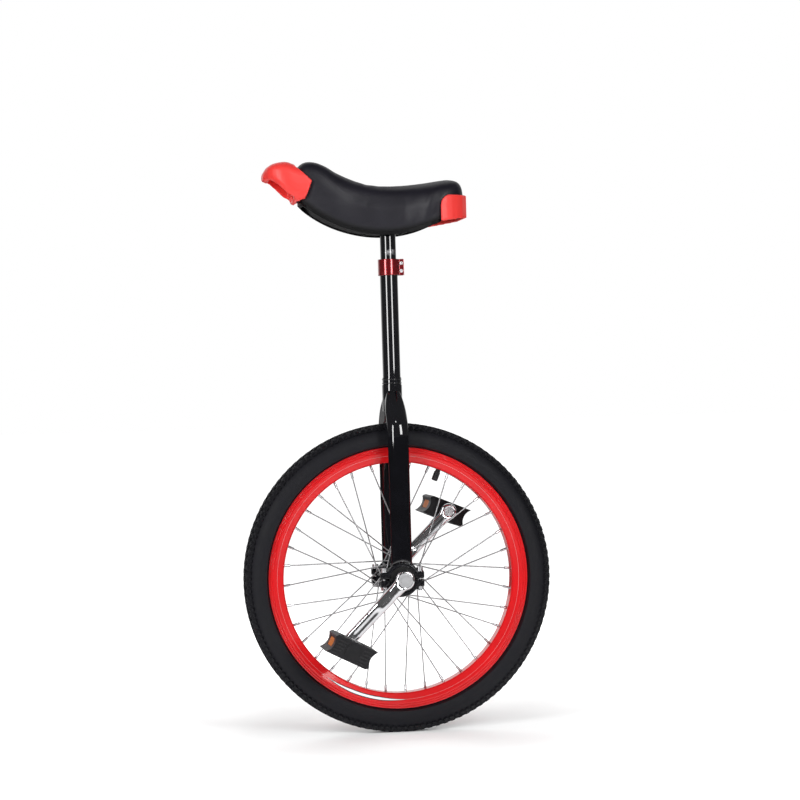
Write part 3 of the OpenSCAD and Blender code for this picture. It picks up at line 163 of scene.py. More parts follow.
class UnicycleLegs(bpy.types.PropertyGroup):
    """Shaping of the leg tubes"""

    middle_y: length("Middle", "Distance from the wheel's plane to the middle of a leg", 0.051)
    bend_z: length("Bend Height", "Height at which a leg starts to bend", 0.477)
    bend_r: length("Bend Radius", "Radius of the bend on the middle of a leg", 0.040)
    slope: FloatProperty(
        name="Slope", description="Inward slope above the bend", default=math.radians(40), min=0,
        subtype="ANGLE",
    )
    flank: FloatProperty(
        name="Flank", description="Share of the thickness taken off at the edges", default=0.5, min=0, max=1
    )
    arch_z: length("Arch Height", "Height at which the pointed top starts", 0.505)
    arch_r: length("Arch Radius", "Radius of the pointed top", 0.140)
    arch_h: length("Arch Drop", "Height of the round arch", 0.030)
    tip: length("Tip", "Least half width at the top of the arch", 0.003)


class UnicycleCranks(bpy.types.PropertyGroup):
    """Shaping of the crank arms"""

    angle: FloatProperty(
        name="Angle", description="Slope of the cranks at rest", default=math.radians(44.5),
        subtype="ANGLE",
    )
    face_y: length("Face", "Distance from the wheel's plane to the inner face of a boss", 0.0605)
    start: length("Start", "Distance from the axle at which the curve starts", 0.012)
    end: length("End", "Distance from the axle at which the curve ends", 0.062)
    dip: length("Dip", "Depth of the dip between boss and arm", 0.0004)


class UnicycleStudio(bpy.types.PropertyGroup):
    """Camera and light"""

    camera_place: FloatVectorProperty(
        name="Camera", description="Place of the camera", default=(0.57215, 3.93981, 0.54302),
        subtype="XYZ", size=3,
    )
    camera_back: FloatVectorProperty(
        name="Back", description="Direction from the object to the camera",
        default=(0.146756, 0.989169, 0.002653), subtype="DIRECTION", size=3,
    )
    camera_roll: FloatProperty(
        name="Roll", description="Turn of the camera about its own line of sight",
        default=math.radians(-1.658), subtype="ANGLE",
    )
    lens: FloatProperty(name="Lens", description="Focal length in millimetres", default=111.384, min=1)
    softbox_watts: power("Softboxes", "Power of each softbox", 52)
    top_watts: power("Top Light", "Power of the light overhead", 4.5)
    floor_watts: power("Floor Light", "Power of each light on the floor", 70)
    small_watts: power("Small Light", "Power of the small high light", 3)
    fill_watts: power("Fill Light", "Power of the light from behind", 40)
    ambient: FloatProperty(name="Ambient", description="Light from all round", default=0.3, min=0)


class UnicycleSettings(bpy.types.PropertyGroup):
    """All the settings of the unicycle"""

    colours: PointerProperty(type=UnicycleColours)
    saddle: PointerProperty(type=UnicycleSaddle)
    detail: PointerProperty(type=UnicycleDetail)
    legs: PointerProperty(type=UnicycleLegs)
    cranks: PointerProperty(type=UnicycleCranks)
    studio: PointerProperty(type=UnicycleStudio)


def settings():
    """Settings of this scene."""
    return bpy.context.scene.unicycle


# Shader nodes


def add(tree, kind, sockets=None, **options):
    """A new node. Sockets maps an input to a value, or to the output that feeds it."""
    made = tree.nodes.new(kind)
    for key, value in options.items():
        setattr(made, key, value)
    for key, value in (sockets or {}).items():
        if isinstance(value, bpy.types.NodeSocket):
            tree.links.new(value, made.inputs[key])
        else:
            made.inputs[key].default_value = value
    return made


def math_node(tree, operation, first, second=0.0):
    """Result of a sum on one or two values."""
    return add(tree, "ShaderNodeMath", {0: first, 1: second}, operation=operation).outputs[0]


def ramp(tree, value, low, high, to_low=0.0, to_high=1.0):
    """Value carried from one range to another, and held at the ends."""
    sockets = {"Value": value, "From Min": low, "From Max": high, "To Min": to_low, "To Max": to_high}
    return add(tree, "ShaderNodeMapRange", sockets).outputs["Result"]


def mix(tree, factor, first, second):
    """Colour between two others."""
    sides = [c if isinstance(c, bpy.types.NodeSocket) else (*c, 1.0) for c in (first, second)]
    sockets = {0: factor, 6: sides[0], 7: sides[1]}
    return add(tree, "ShaderNodeMix", sockets, data_type="RGBA").outputs[2]


def object_place(tree):
    """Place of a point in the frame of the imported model."""
    return add(tree, "ShaderNodeTexCoord").outputs["Object"]


def noise(tree, place, scale, detail):
    """Value of a cloudy noise."""
    sockets = {"Vector": place, "Scale": scale, "Detail": detail}
    return add(tree, "ShaderNodeTexNoise", sockets).outputs[0]


def axes_of(tree):
    """X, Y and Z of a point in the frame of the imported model."""
    return add(tree, "ShaderNodeSeparateXYZ", {"Vector": object_place(tree)}).outputs


def distance(tree, across, up):
    """Length of a line from its run across and its run upwards."""
    squares = [math_node(tree, "MULTIPLY", run, run) for run in (across, up)]
    return math_node(tree, "SQRT", math_node(tree, "ADD", *squares))


def bump_by(tree, shader, height, depth, strength=1.0):
    """Feeds a bump to a shader's normal. Depth is what a height of one stands for, in metres."""
    sockets = {"Strength": strength, "Distance": depth, "Height": height}
    tree.links.new(add(tree, "ShaderNodeBump", sockets).outputs[0], shader.inputs["Normal"])


def new_group(name, inputs, outputs):
    """Empty shader group with its sockets."""
    tree = bpy.data.node_groups.new(name, "ShaderNodeTree")
    for label, value in inputs:
        socket = tree.interface.new_socket(label, in_out="INPUT", socket_type="NodeSocketFloat")
        socket.default_value = value
    for label in outputs:
        tree.interface.new_socket(label, in_out="OUTPUT", socket_type="NodeSocketFloat")
    return tree, tree.nodes.new("NodeGroupInput"), tree.nodes.new("NodeGroupOutput")


def group_node(tree, group, **values):
    """Places a group in a material with its own values."""
    made = add(tree, "ShaderNodeGroup", node_tree=group)
    for label, value in values.items():
        made.inputs[label].default_value = value
    return made


def drift_group():
    """Slow cloudy drift and a fine speckle over a surface."""
    inputs = [("Cloud", 30.0), ("Speck", 900.0)]
    tree, source, sink = new_group("Surface Drift", inputs, ["Drift", "Speckle"])
    place = object_place(tree)
    cloud = noise(tree, place, source.outputs["Cloud"], 4.0)
    speck = noise(tree, place, source.outputs["Speck"], 2.0)
    tree.links.new(ramp(tree, cloud, 0.3, 0.7), sink.inputs["Drift"])
    tree.links.new(ramp(tree, speck, 0.3, 0.7), sink.inputs["Speckle"])
    return tree


def scuff_group():
    """Thin crossing scratches, as a mask."""
    tree, source, sink = new_group("Scuffs", [("Scale", 120.0), ("Width", 0.02)], ["Mask"])
    place = object_place(tree)
    layers = []
    for turn, stretch in (((0.3, 0.5, 0.2), (1.0, 1.0, 9.0)), ((1.1, 0.4, 0.9), (9.0, 1.0, 1.0))):
        turned = add(tree, "ShaderNodeMapping", {"Vector": place, "Rotation": turn, "Scale": stretch})
        wave = noise(tree, turned.outputs[0], source.outputs["Scale"], 1.0)
        off = math_node(tree, "ABSOLUTE", math_node(tree, "SUBTRACT", wave, 0.5))
        layers.append(ramp(tree, off, 0.0, source.outputs["Width"], 1.0, 0.0))
    patches = ramp(tree, noise(tree, place, 45.0, 2.0), 0.52, 0.66)
    lines = math_node(tree, "MAXIMUM", layers[0], layers[1])
    tree.links.new(math_node(tree, "MULTIPLY", lines, patches), sink.inputs["Mask"])
    return tree


def grain_group():
    """Pebbled grain of an embossed cover."""
    tree, source, sink = new_group("Vinyl Grain", [("Scale", 620.0)], ["Height", "Valley"])
    place = object_place(tree)
    sockets = {"Vector": place, "Scale": source.outputs["Scale"]}
    cells = add(tree, "ShaderNodeTexVoronoi", sockets, feature="DISTANCE_TO_EDGE")
    fine = noise(tree, place, 1900.0, 2.0)
    dome = ramp(tree, cells.outputs["Distance"], 0.0, 0.22)
    height = math_node(tree, "ADD", dome, math_node(tree, "MULTIPLY", fine, 0.35))
    tree.links.new(height, sink.inputs["Height"])
    # Valley marks the low places of the grain, which the cover darkens as painted shade.
    tree.links.new(ramp(tree, dome, 0.0, 0.5, 1.0, 0.0), sink.inputs["Valley"])
    return tree


def wheel_group():
    """Place of a point on the wheel: radius, angle from the bottom towards the front, and distance
    from the middle plane."""
    tree, _source, sink = new_group("Wheel Place", [], ["Radius", "Angle", "Side"])
    axes = axes_of(tree)
    drop = math_node(tree, "SUBTRACT", AXLE_Z, axes["Z"])
    tree.links.new(distance(tree, axes["X"], drop), sink.inputs["Radius"])
    tree.links.new(math_node(tree, "ARCTAN2", axes["X"], drop), sink.inputs["Angle"])
    tree.links.new(math_node(tree, "ABSOLUTE", axes["Y"]), sink.inputs["Side"])
    return tree


GROUPS = {"drift": drift_group, "scuffs": scuff_group, "grain": grain_group, "wheel": wheel_group}


def shared(name):
    """A shared effect, made when it is first asked for."""
    made = GROUPS[name]
    if callable(made):
        GROUPS[name] = made = made()
    return made


def finish(name, tone, shade, rough, cloud=30.0, peel=0.0, peel_scale=420.0, **constants):
    """Material whose colour and roughness drift over the surface, with a fine bump. Rough is the
    smoothest and the roughest value, peel the height of the bump in metres."""
    made = bpy.data.materials.new(name)
    made.use_nodes = True
    tree = made.node_tree
    shader = tree.nodes["Principled BSDF"]
    for key, value in constants.items():
        shader.inputs[key.replace("_", " ")].default_value = value
    drift = group_node(tree, shared("drift"), Cloud=cloud, Speck=peel_scale)
    tree.links.new(mix(tree, drift.outputs["Drift"], tone, shade), shader.inputs["Base Color"])
    tree.links.new(ramp(tree, drift.outputs["Drift"], 0.0, 1.0, *rough), shader.inputs["Roughness"])
    if peel:
        bump_by(tree, shader, drift.outputs["Speckle"], peel)
    return made


def darker(tone, share):
    """The same colour with its light scaled by a share."""
    return tuple(c * share for c in tone)


def feed(shader, name):
    """Output that now feeds one of the shader's inputs."""
    return shader.inputs[name].links[0].from_socket


def overlay(made, mask, tone, rough=None):
    """Lays another colour, and roughness, over a material where the mask says."""
    tree = made.node_tree
    shader = tree.nodes["Principled BSDF"]
    tree.links.new(mix(tree, mask, feed(shader, "Base Color"), tone), shader.inputs["Base Color"])
    if rough is not None:
        below = feed(shader, "Roughness")
        tree.links.new(ramp(tree, mask, 0.0, 1.0, below, rough), shader.inputs["Roughness"])


def wear(made, scale, width, tone, rough):
    """Fine scratches over a material."""
    scuffs = group_node(made.node_tree, shared("scuffs"), Scale=scale, Width=width)
    overlay(made, scuffs.outputs["Mask"], tone, rough)


def within(tree, value, low, high, soft):
    """One inside a range of values and nothing outside it, with soft ends."""
    rise = ramp(tree, value, low - soft, low + soft)
    fall = ramp(tree, value, high - soft, high + soft, 1.0, 0.0)
    return math_node(tree, "MULTIPLY", rise, fall)


def paint(material, *nodes):
    """Gives CAD nodes, or new pieces, one material."""
    for one in nodes:
        piece = frame["nodes"][one] if isinstance(one, str) else one
        piece.data.materials.clear()
        piece.data.materials.append(material)


# Mesh tools


def copy_of(node):
    """Bmesh of a CAD node with its loose triangles joined."""
    bm = bmesh.new()
    bm.from_mesh(frame["nodes"][node].data)
    bmesh.ops.remove_doubles(bm, verts=bm.verts, dist=MERGE_DISTANCE)
    return bm


def new_piece(name, bm, smooth_angle=math.radians(35)):
    """Object from a bmesh, at the origin and smooth below an angle."""
    mesh = bpy.data.meshes.new(name)
    bm.to_mesh(mesh)
    bm.free()
    mesh.shade_smooth()
    mesh.set_sharp_from_angle(angle=smooth_angle)
    piece = bpy.data.objects.new(name, mesh)
    bpy.context.scene.collection.objects.link(piece)
    return piece


def stand_for(piece, node):
    """Lets a piece stand for a CAD node on that node's body."""
    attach(piece, frame["nodes"][node]["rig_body"])
    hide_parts(node)


def settled(piece):
    """Applies a piece's modifiers to its mesh."""
    graph = bpy.context.evaluated_depsgraph_get()
    graph.update()
    mesh = bpy.data.meshes.new_from_object(piece.evaluated_get(graph))
    old = piece.data
    piece.modifiers.clear()
    piece.data = mesh
    mesh.name = piece.name
    bpy.data.meshes.remove(old)


def even_out(bm, steps):
    """Smooths a bmesh by some steps."""
    axes = {"use_axis_x": True, "use_axis_y": True, "use_axis_z": True}
    for _step in range(steps):
        bmesh.ops.smooth_vert(bm, verts=bm.verts, factor=SMOOTH_SHARE, **axes)
    bm.normal_update()


def smoothed(mesh, steps, push=0.0):
    """Evens out a mesh by some steps of smoothing, and then pushes it out along its normals."""
    bm = bmesh.new()
    bm.from_mesh(mesh)
    even_out(bm, steps)
    for v in bm.verts:
        v.co += v.normal * push
    bm.to_mesh(mesh)
    bm.free()


def remeshed(piece, voxel):
    """Rebuilds a piece's mesh from even cells."""
    cells = piece.modifiers.new("Cells", "REMESH")
    cells.mode = "VOXEL"
    cells.voxel_size = voxel
    settled(piece)


def softened_copy(name, node, voxel, steps, rounds=1, push=0.0, reshape=None):
    """Copy of a CAD node with its edges rounded off, which stands for it. Push is the thickness given
    back after each round of smoothing, and reshape a change to the mesh before the first."""
    piece = new_piece(name, copy_of(node))
    remeshed(piece, voxel)
    if reshape:
        reshape(piece.data)
    for _round in range(rounds):
        smoothed(piece.data, steps, push)
    piece.data.shade_smooth()
    stand_for(piece, node)
    return piece


def along(corners, at):
    """Height at one place of an outline of straight runs."""
    for (x0, y0), (x1, y1) in zip(corners, corners[1:]):
        if at <= x1:
            return y0 + (y1 - y0) * (at - x0) / (x1 - x0)
    return corners[-1][1]


class UnicycleOperator(bpy.types.Operator):
    """Shared base of the unicycle's operators"""

    bl_options = {"REGISTER", "UNDO"}


class UNICYCLE_OT_frame(UnicycleOperator):
    """Paint the frame, the seatpost and the bearing housings, and round the cast edges"""

    bl_idname = "unicycle.frame"
    bl_label = "Frame and Housings"

    def swage(self, mesh, side, legs):
        """Curves the flat sides of a leg, and draws its pointed top in to a round arch."""
        half_w, top_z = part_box("left_leg")[1].x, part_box("left_leg")[1].z
        hinge_y = legs.middle_y - legs.bend_r
        for v in mesh.vertices:
            across, above = v.co.y * side - hinge_y, max(0.0, v.co.z - legs.bend_z)
            turn = min(math.atan2(above, max(across, 1e-6)), legs.slope)
            way = Vector((0, side * math.cos(turn), math.sin(turn)))
            depth = across * math.cos(turn) + above * math.sin(turn) - legs.bend_r
            v.co -= way * (depth * legs.flank * (v.co.x / half_w) ** 2)
            drop = max(0.0, top_z - v.co.z)
            if drop < legs.arch_h:
                rise = v.co.z - legs.arch_z
                pointed = math.sqrt(legs.arch_r ** 2 - rise ** 2) - legs.arch_r + half_w
                rounded = half_w * math.sqrt(1 - (1 - drop / legs.arch_h) ** 2)
                v.co.x *= min(1.0, max(rounded, legs.tip) / min(pointed, half_w))

    def execute(self, context):
        colours, detail = settings().colours, settings().detail
        black = tuple(colours.frame_paint)
        gloss = finish(
            "gloss black paint", black, darker(black, 1.6), (0.30, 0.36), peel=3e-6,
            Specular_IOR_Level=0.0, Coat_Weight=1.0, Coat_Roughness=0.03, Coat_IOR=1.75,
        )
        post = gloss.copy()
        post.name = "scuffed black paint"
        tree = post.node_tree
        scuffs = group_node(tree, shared("scuffs"), Scale=560.0, Width=0.14)
        band = within(tree, axes_of(tree)["Z"], POST_MARKS_Z + 0.003, POST_MARKS_Z + 0.014, 0.002)
        marks = math_node(tree, "MULTIPLY", scuffs.outputs["Mask"], band)
        overlay(post, marks, (0.55, 0.55, 0.57), 0.45)
        cast = finish(
            "painted casting", black, darker(black, 2.0), (0.10, 0.16), peel=1.4e-4, peel_scale=420.0,
            Specular_IOR_Level=0.3,
        )
        wear(cast, 90.0, 0.012, (0.02, 0.02, 0.022), 0.3)
        paint(gloss, "seat_tube", "crown_sleeve")
        for node, side in (("left_leg", 1), ("right_leg", -1)):
            paint(gloss, softened_copy(
                node + "_tube", node, detail.leg_cell, detail.leg_rounding,
                reshape=lambda mesh, side=side: self.swage(mesh, side, settings().legs),
            ))
        paint(post, "seatpost")
        paint(cast, "post_plate")
        for node in ("left_housing", "right_housing", "left_bearing_cap", "right_bearing_cap"):
            paint(cast, softened_copy(
                node + "_cast", node, detail.cast_cell, detail.rounding,
            ))
        return {"FINISHED"}


class UNICYCLE_OT_clamp(UnicycleOperator):
    """Round and anodise the seat clamp"""

    bl_idname = "unicycle.clamp"
    bl_label = "Seat Clamp"

    def execute(self, context):
        red = tuple(settings().colours.clamp_red)
        anodised = finish(
            "red anodised metal", red, darker(red, 0.8), (0.16, 0.24), cloud=80.0, peel=6e-6,
            peel_scale=1500.0, Metallic=0.6, Coat_Weight=1.0, Coat_Roughness=0.04,
        )
        wear(anodised, 160.0, 0.01, (0.45, 0.10, 0.10), 0.3)
        detail = settings().detail
        paint(anodised, softened_copy(
            "seat_clamp_collar", "seat_clamp", detail.clamp_cell, detail.rounding,
        ))
        return {"FINISHED"}


class UNICYCLE_OT_fasteners(UnicycleOperator):
    """Plate the bolts, washers, nuts, bearings and the axle"""

    bl_idname = "unicycle.fasteners"
    bl_label = "Fasteners and Bearings"

    def execute(self, context):
        steel = tuple(settings().colours.bright_steel)
        zinc = finish(
            "zinc plate", steel, darker(steel, 0.8), (0.22, 0.38), cloud=160.0, peel=8e-6,
            peel_scale=1600.0, Metallic=1.0,
        )
        wear(zinc, 200.0, 0.015, darker(steel, 0.55), 0.5)
        ground = finish(
            "ground bearing steel", steel, darker(steel, 0.85), (0.10, 0.2), cloud=200.0, peel=3e-6,
            peel_scale=2600.0, Metallic=1.0,
        )
        dark = finish(
            "oiled steel", darker(steel, 0.35), darker(steel, 0.25), (0.25, 0.4), cloud=120.0, peel=8e-6,
            peel_scale=1800.0, Metallic=1.0,
        )
        brass = finish(
            "sintered brass", (0.55, 0.36, 0.12), (0.42, 0.27, 0.09), (0.35, 0.5), cloud=260.0, peel=2e-5,
            peel_scale=2400.0, Metallic=1.0,
        )
        oxide = finish(
            "black oxide", darker(steel, 0.006), darker(steel, 0.010), (0.35, 0.5), cloud=150.0, peel=1e-5,
            peel_scale=1700.0, Specular_IOR_Level=0.3,
        )
        paint(
            zinc, "housing_bolts", "housing_washers", "housing_nuts", "clamp_bolts",
            "left_pedal_spindle", "right_pedal_spindle",
        )
        paint(oxide, "saddle_bolts", "saddle_nuts", "bearing_shields", "bearing_outer_races")
        paint(ground, "bearing_inner_races", "bearing_balls")
        paint(dark, "axle", "crank_bolts")
        paint(brass, "left_pedal_bushes", "right_pedal_bushes")
        return {"FINISHED"}


class UNICYCLE_OT_tyre(UnicycleOperator):
    """Give the tyre its rubber and its shoulder lugs"""

    bl_idname = "unicycle.tyre"
    bl_label = "Tyre"

    RING_RADII = (0.213, 0.222)
    RING_PITCH = 0.0016
    LUG_FROM, LUG_STEP, LUG_CORNERS = math.radians(24), math.radians(6.5), 5
    LUG_FOOT = 0.0001
    LUG_FILL = 0.56

    def rubber(self, name, tone, ringed=False):
        """Rubber with a fine grain, and mould lines round the sidewall where it is ringed."""
        made = finish(name, tone, darker(tone, 1.5), (0.52, 0.66), cloud=40.0, Specular_IOR_Level=0.25)
        tree = made.node_tree
        shader = tree.nodes["Principled BSDF"]
        height = group_node(tree, shared("drift"), Cloud=40.0, Speck=1400.0).outputs["Speckle"]
        if ringed:
            radius = group_node(tree, shared("wheel")).outputs["Radius"]
            turns = math_node(tree, "MULTIPLY", radius, math.tau / self.RING_PITCH)
            band = within(tree, radius, *self.RING_RADII, 0.001)
            lines = math_node(tree, "MULTIPLY", math_node(tree, "SINE", turns), band)
            height = math_node(tree, "ADD", math_node(tree, "MULTIPLY", lines, 0.5), height)
        bump_by(tree, shader, height, 1.2e-4)
        return made

    def shoulder_lugs(self, detail):
        """Ring of low blocks on each shoulder of the casing."""
        low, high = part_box("tyre")
        casing_r = (high.y - low.y) / 2
        centre_r = high.z - AXLE_Z - casing_r
        reach = casing_r + self.LUG_FOOT
        bm = bmesh.new()
        profile = []
        for step in range(self.LUG_CORNERS):
            angle = self.LUG_FROM + step * self.LUG_STEP
            out, up = reach * math.sin(angle), reach * math.cos(angle)
            profile.append(bm.verts.new((0, out, AXLE_Z + centre_r + up)))
        edges = [bm.edges.new(pair) for pair in zip(profile, profile[1:])]
        pitch = math.tau / detail.lugs
        axis = {"cent": (0, 0, AXLE_Z), "axis": (0, 1, 0)}
        bmesh.ops.spin(
            bm, geom=profile + edges, angle=pitch * self.LUG_FILL, steps=2, use_merge=False, **axis
        )
        bmesh.ops.recalc_face_normals(bm, faces=bm.faces)
        if sum(f.normal.y for f in bm.faces) < 0:
            bmesh.ops.reverse_faces(bm, faces=bm.faces)
        bmesh.ops.solidify(bm, geom=bm.faces[:], thickness=-detail.lug_height)
        bmesh.ops.spin(
            bm, geom=bm.verts[:] + bm.edges[:] + bm.faces[:], angle=math.tau - pitch,
            steps=detail.lugs - 1, use_duplicate=True, **axis,
        )
        bmesh.ops.mirror(bm, geom=bm.verts[:] + bm.edges[:] + bm.faces[:], axis="Y", merge_dist=0)
        bmesh.ops.recalc_face_normals(bm, faces=bm.faces)
        return new_piece("shoulder_lugs", bm)

    def execute(self, context):
        black = tuple(settings().colours.tyre_rubber)
        casing = self.rubber("tyre rubber", black, ringed=True)
        tread = self.rubber("tread rubber", darker(black, 0.8))
        inner = finish(
            "butyl rubber", darker(black, 0.7), black, (0.45, 0.6), cloud=70.0, peel=3e-5, peel_scale=900.0
        )
        cap = finish(
            "moulded black plastic", darker(black, 0.5), darker(black, 0.9), (0.3, 0.42), cloud=220.0,
            peel=1.5e-5, peel_scale=2000.0,
        )
        paint(casing, "tyre")
        paint(tread, "tyre_tread")
        paint(inner, "inner_tube", "rim_tape", "valve_stem")
        paint(cap, "valve_cap")
        lugs = self.shoulder_lugs(settings().detail)
        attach(lugs, "wheel")
        paint(tread, lugs)
        return {"FINISHED"}


class UNICYCLE_OT_wheel(UnicycleOperator):
    """Paint the rim with its plain stripe, and finish the spokes, nipples and hub"""

    bl_idname = "unicycle.wheel"
    bl_label = "Rim, Spokes and Hub"

    STRIPE_RADIUS = 0.1955
    SIDE_FROM, SIDE_TO = 0.0125, 0.0130
    STRIPES = (  # colour, half of the width, and angles of the two ends
        ((0.01, 0.01, 0.012), 0.0032, (-0.05, 0.68)),
        ((0.86, 0.86, 0.88), 0.0019, (-0.03, 0.64)),
    )

    def rim_paint(self):
        """Gloss red with a tapered two-tone stripe near the bottom of each side."""
        red = tuple(settings().colours.rim_paint)
        made = finish(
            "gloss red paint", red, darker(red, 0.88), (0.20, 0.28), cloud=18.0, peel=1.5e-5,
            peel_scale=600.0, Specular_IOR_Level=0.2, Coat_Weight=0.4, Coat_Roughness=0.06,
        )
        tree = made.node_tree
        place = group_node(tree, shared("wheel"))
        radius, angle = place.outputs["Radius"], place.outputs["Angle"]
        outside = ramp(tree, place.outputs["Side"], self.SIDE_FROM, self.SIDE_TO)
        gap = math_node(tree, "ABSOLUTE", math_node(tree, "SUBTRACT", radius, self.STRIPE_RADIUS))
        for tone, half, (first, last) in self.STRIPES:
            span = last - first
            turn = math_node(tree, "SUBTRACT", angle, (first + last) / 2)
            taper = ramp(tree, math_node(tree, "ABSOLUTE", turn), span * 0.18, span / 2, half, 0.0)
            inside = ramp(tree, math_node(tree, "SUBTRACT", gap, taper), -0.0002, 0.0002, 1.0, 0.0)
            overlay(made, math_node(tree, "MULTIPLY", inside, outside), tone)
        return made

    def execute(self, context):
        steel = tuple(settings().colours.bright_steel)
        wire = finish(
            "drawn stainless wire", darker(steel, 0.5), darker(steel, 0.42), (0.28, 0.4), cloud=90.0,
            peel=4e-6, peel_scale=2200.0, Metallic=0.6,
        )
        nickel = finish(
            "nickel plate", darker(steel, 0.9), darker(steel, 0.72), (0.2, 0.32), cloud=300.0,
            peel=4e-6, peel_scale=2400.0, Metallic=1.0,
        )
        black = tuple(settings().colours.frame_paint)
        hub = finish(
            "black hub paint", darker(black, 1.6), darker(black, 3.0), (0.16, 0.26), cloud=90.0,
            peel=1.5e-5, peel_scale=900.0, Coat_Weight=0.8, Coat_Roughness=0.05,
        )
        wear(hub, 140.0, 0.012, (0.10, 0.10, 0.11), 0.4)
        paint(self.rim_paint(), "rim")
        paint(wire, "left_spokes", "right_spokes")
        paint(nickel, "nipples")
        paint(hub, "hub_shell")
        return {"FINISHED"}


class UNICYCLE_OT_drive(UnicycleOperator):
    """Round and plate the cranks, and mould the pedals"""

    bl_idname = "unicycle.drive"
    bl_label = "Cranks and Pedals"

    # Distance from the axle, and height over the inner face of the boss, at the kinks of the CAD crank
    OUTER_FACE = ((0, 0.028), (0.015, 0.028), (0.029, 0.018), (0.058, 0.031), (1, 0.031))
    INNER_FACE = ((0, 0), (0.015, 0), (0.027, 0.003), (0.058, 0.016), (1, 0.016))
    CAP_SEGMENTS = 72

    def ease(self, mesh, side, cranks):
        """Turns the kinks between a crank's boss and its arm into one long curve."""
        way = Vector((math.cos(cranks.angle), 0, -math.sin(cranks.angle))) * side
        outer, inner = self.OUTER_FACE, self.INNER_FACE
        for v in mesh.vertices:
            reach = (v.co - Vector((0, 0, AXLE_Z))).dot(way)
            share = (reach - cranks.start) / (cranks.end - cranks.start)
            if 0 < share < 1:
                step = share * share * (3 - 2 * share)
                dip = 16 * (share * (1 - share)) ** 2
                low, high = along(inner, reach), along(outer, reach)
                new_low = inner[-1][1] * step
                new_high = outer[0][1] + (outer[-1][1] - outer[0][1]) * step - cranks.dip * dip
                depth = (v.co.y * side - cranks.face_y - low) / (high - low)
                v.co.y = side * (cranks.face_y + new_low + depth * (new_high - new_low))

    def crank_caps(self):
        """Turned caps in the two crank bosses, each with a ring pressed into its face."""
        low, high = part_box("dust_caps")
        r, face = (high.z - low.z) / 2, high.y
        outline = (
            (r, -0.0016), (r, -0.0005), (r - 0.0002, -0.0001), (r - 0.0006, 0), (r * 0.72, 0),
            (r * 0.7, -0.0005), (r * 0.64, -0.0005), (r * 0.62, 0), (0, 0),
        )
        bm = bmesh.new()
        rim = [bm.verts.new((0, face + out, AXLE_Z + away)) for away, out in outline]
        edges = [bm.edges.new(pair) for pair in zip(rim, rim[1:])]
        bmesh.ops.spin(
            bm, geom=rim + edges, cent=(0, 0, AXLE_Z), axis=(0, 1, 0), angle=math.tau,
            steps=self.CAP_SEGMENTS, use_merge=True,
        )
        bmesh.ops.mirror(bm, geom=bm.verts[:] + bm.edges[:] + bm.faces[:], axis="Y", merge_dist=0)
        bmesh.ops.remove_doubles(bm, verts=bm.verts, dist=MERGE_DISTANCE)
        bmesh.ops.recalc_face_normals(bm, faces=bm.faces)
        piece = new_piece("crank_caps", bm)
        stand_for(piece, "dust_caps")
        return piece

    def execute(self, context):
        colours, detail = settings().colours, settings().detail
        steel = tuple(colours.bright_steel)
        chrome = finish(
            "chrome plate", steel, darker(steel, 0.92), (0.09, 0.13), cloud=60.0, peel=1e-6,
            peel_scale=260.0, Metallic=1.0,
        )
        wear(chrome, 420.0, 0.006, darker(steel, 0.75), 0.2)
        grey = tuple(colours.cap_grey)
        cap = finish(
            "grey cap plastic", grey, darker(grey, 0.85), (0.4, 0.5), cloud=200.0, peel=1.5e-5,
            peel_scale=1900.0,
        )
        black = tuple(colours.pedal_plastic)
        plastic = finish(
            "pedal plastic", black, darker(black, 1.5), (0.42, 0.55), cloud=110.0, peel=4e-5,
            peel_scale=1500.0, Specular_IOR_Level=0.25,
        )
        wear(plastic, 110.0, 0.012, darker(black, 2.6), 0.6)
        amber = tuple(colours.amber)
        lens = finish(
            "amber reflector", amber, darker(amber, 0.7), (0.42, 0.52), cloud=260.0, peel=6e-5,
            peel_scale=700.0, Specular_IOR_Level=0.1,
        )
        for side, sign in (("left", 1), ("right", -1)):
            paint(chrome, softened_copy(
                f"{side}_crank_arm", f"{side}_crank", detail.crank_cell, detail.crank_rounding,
                detail.crank_rounds, detail.crank_push,
                reshape=lambda mesh, sign=sign: self.ease(mesh, sign, settings().cranks),
            ))
            cage = softened_copy(
                f"{side}_pedal_cage", f"{side}_pedal_body", detail.pedal_cell, detail.pedal_rounding,
            )
            paint(plastic, cage, f"{side}_pedal_cap")
            paint(lens, f"{side}_pedal_reflectors")
        paint(cap, self.crank_caps())
        return {"FINISHED"}


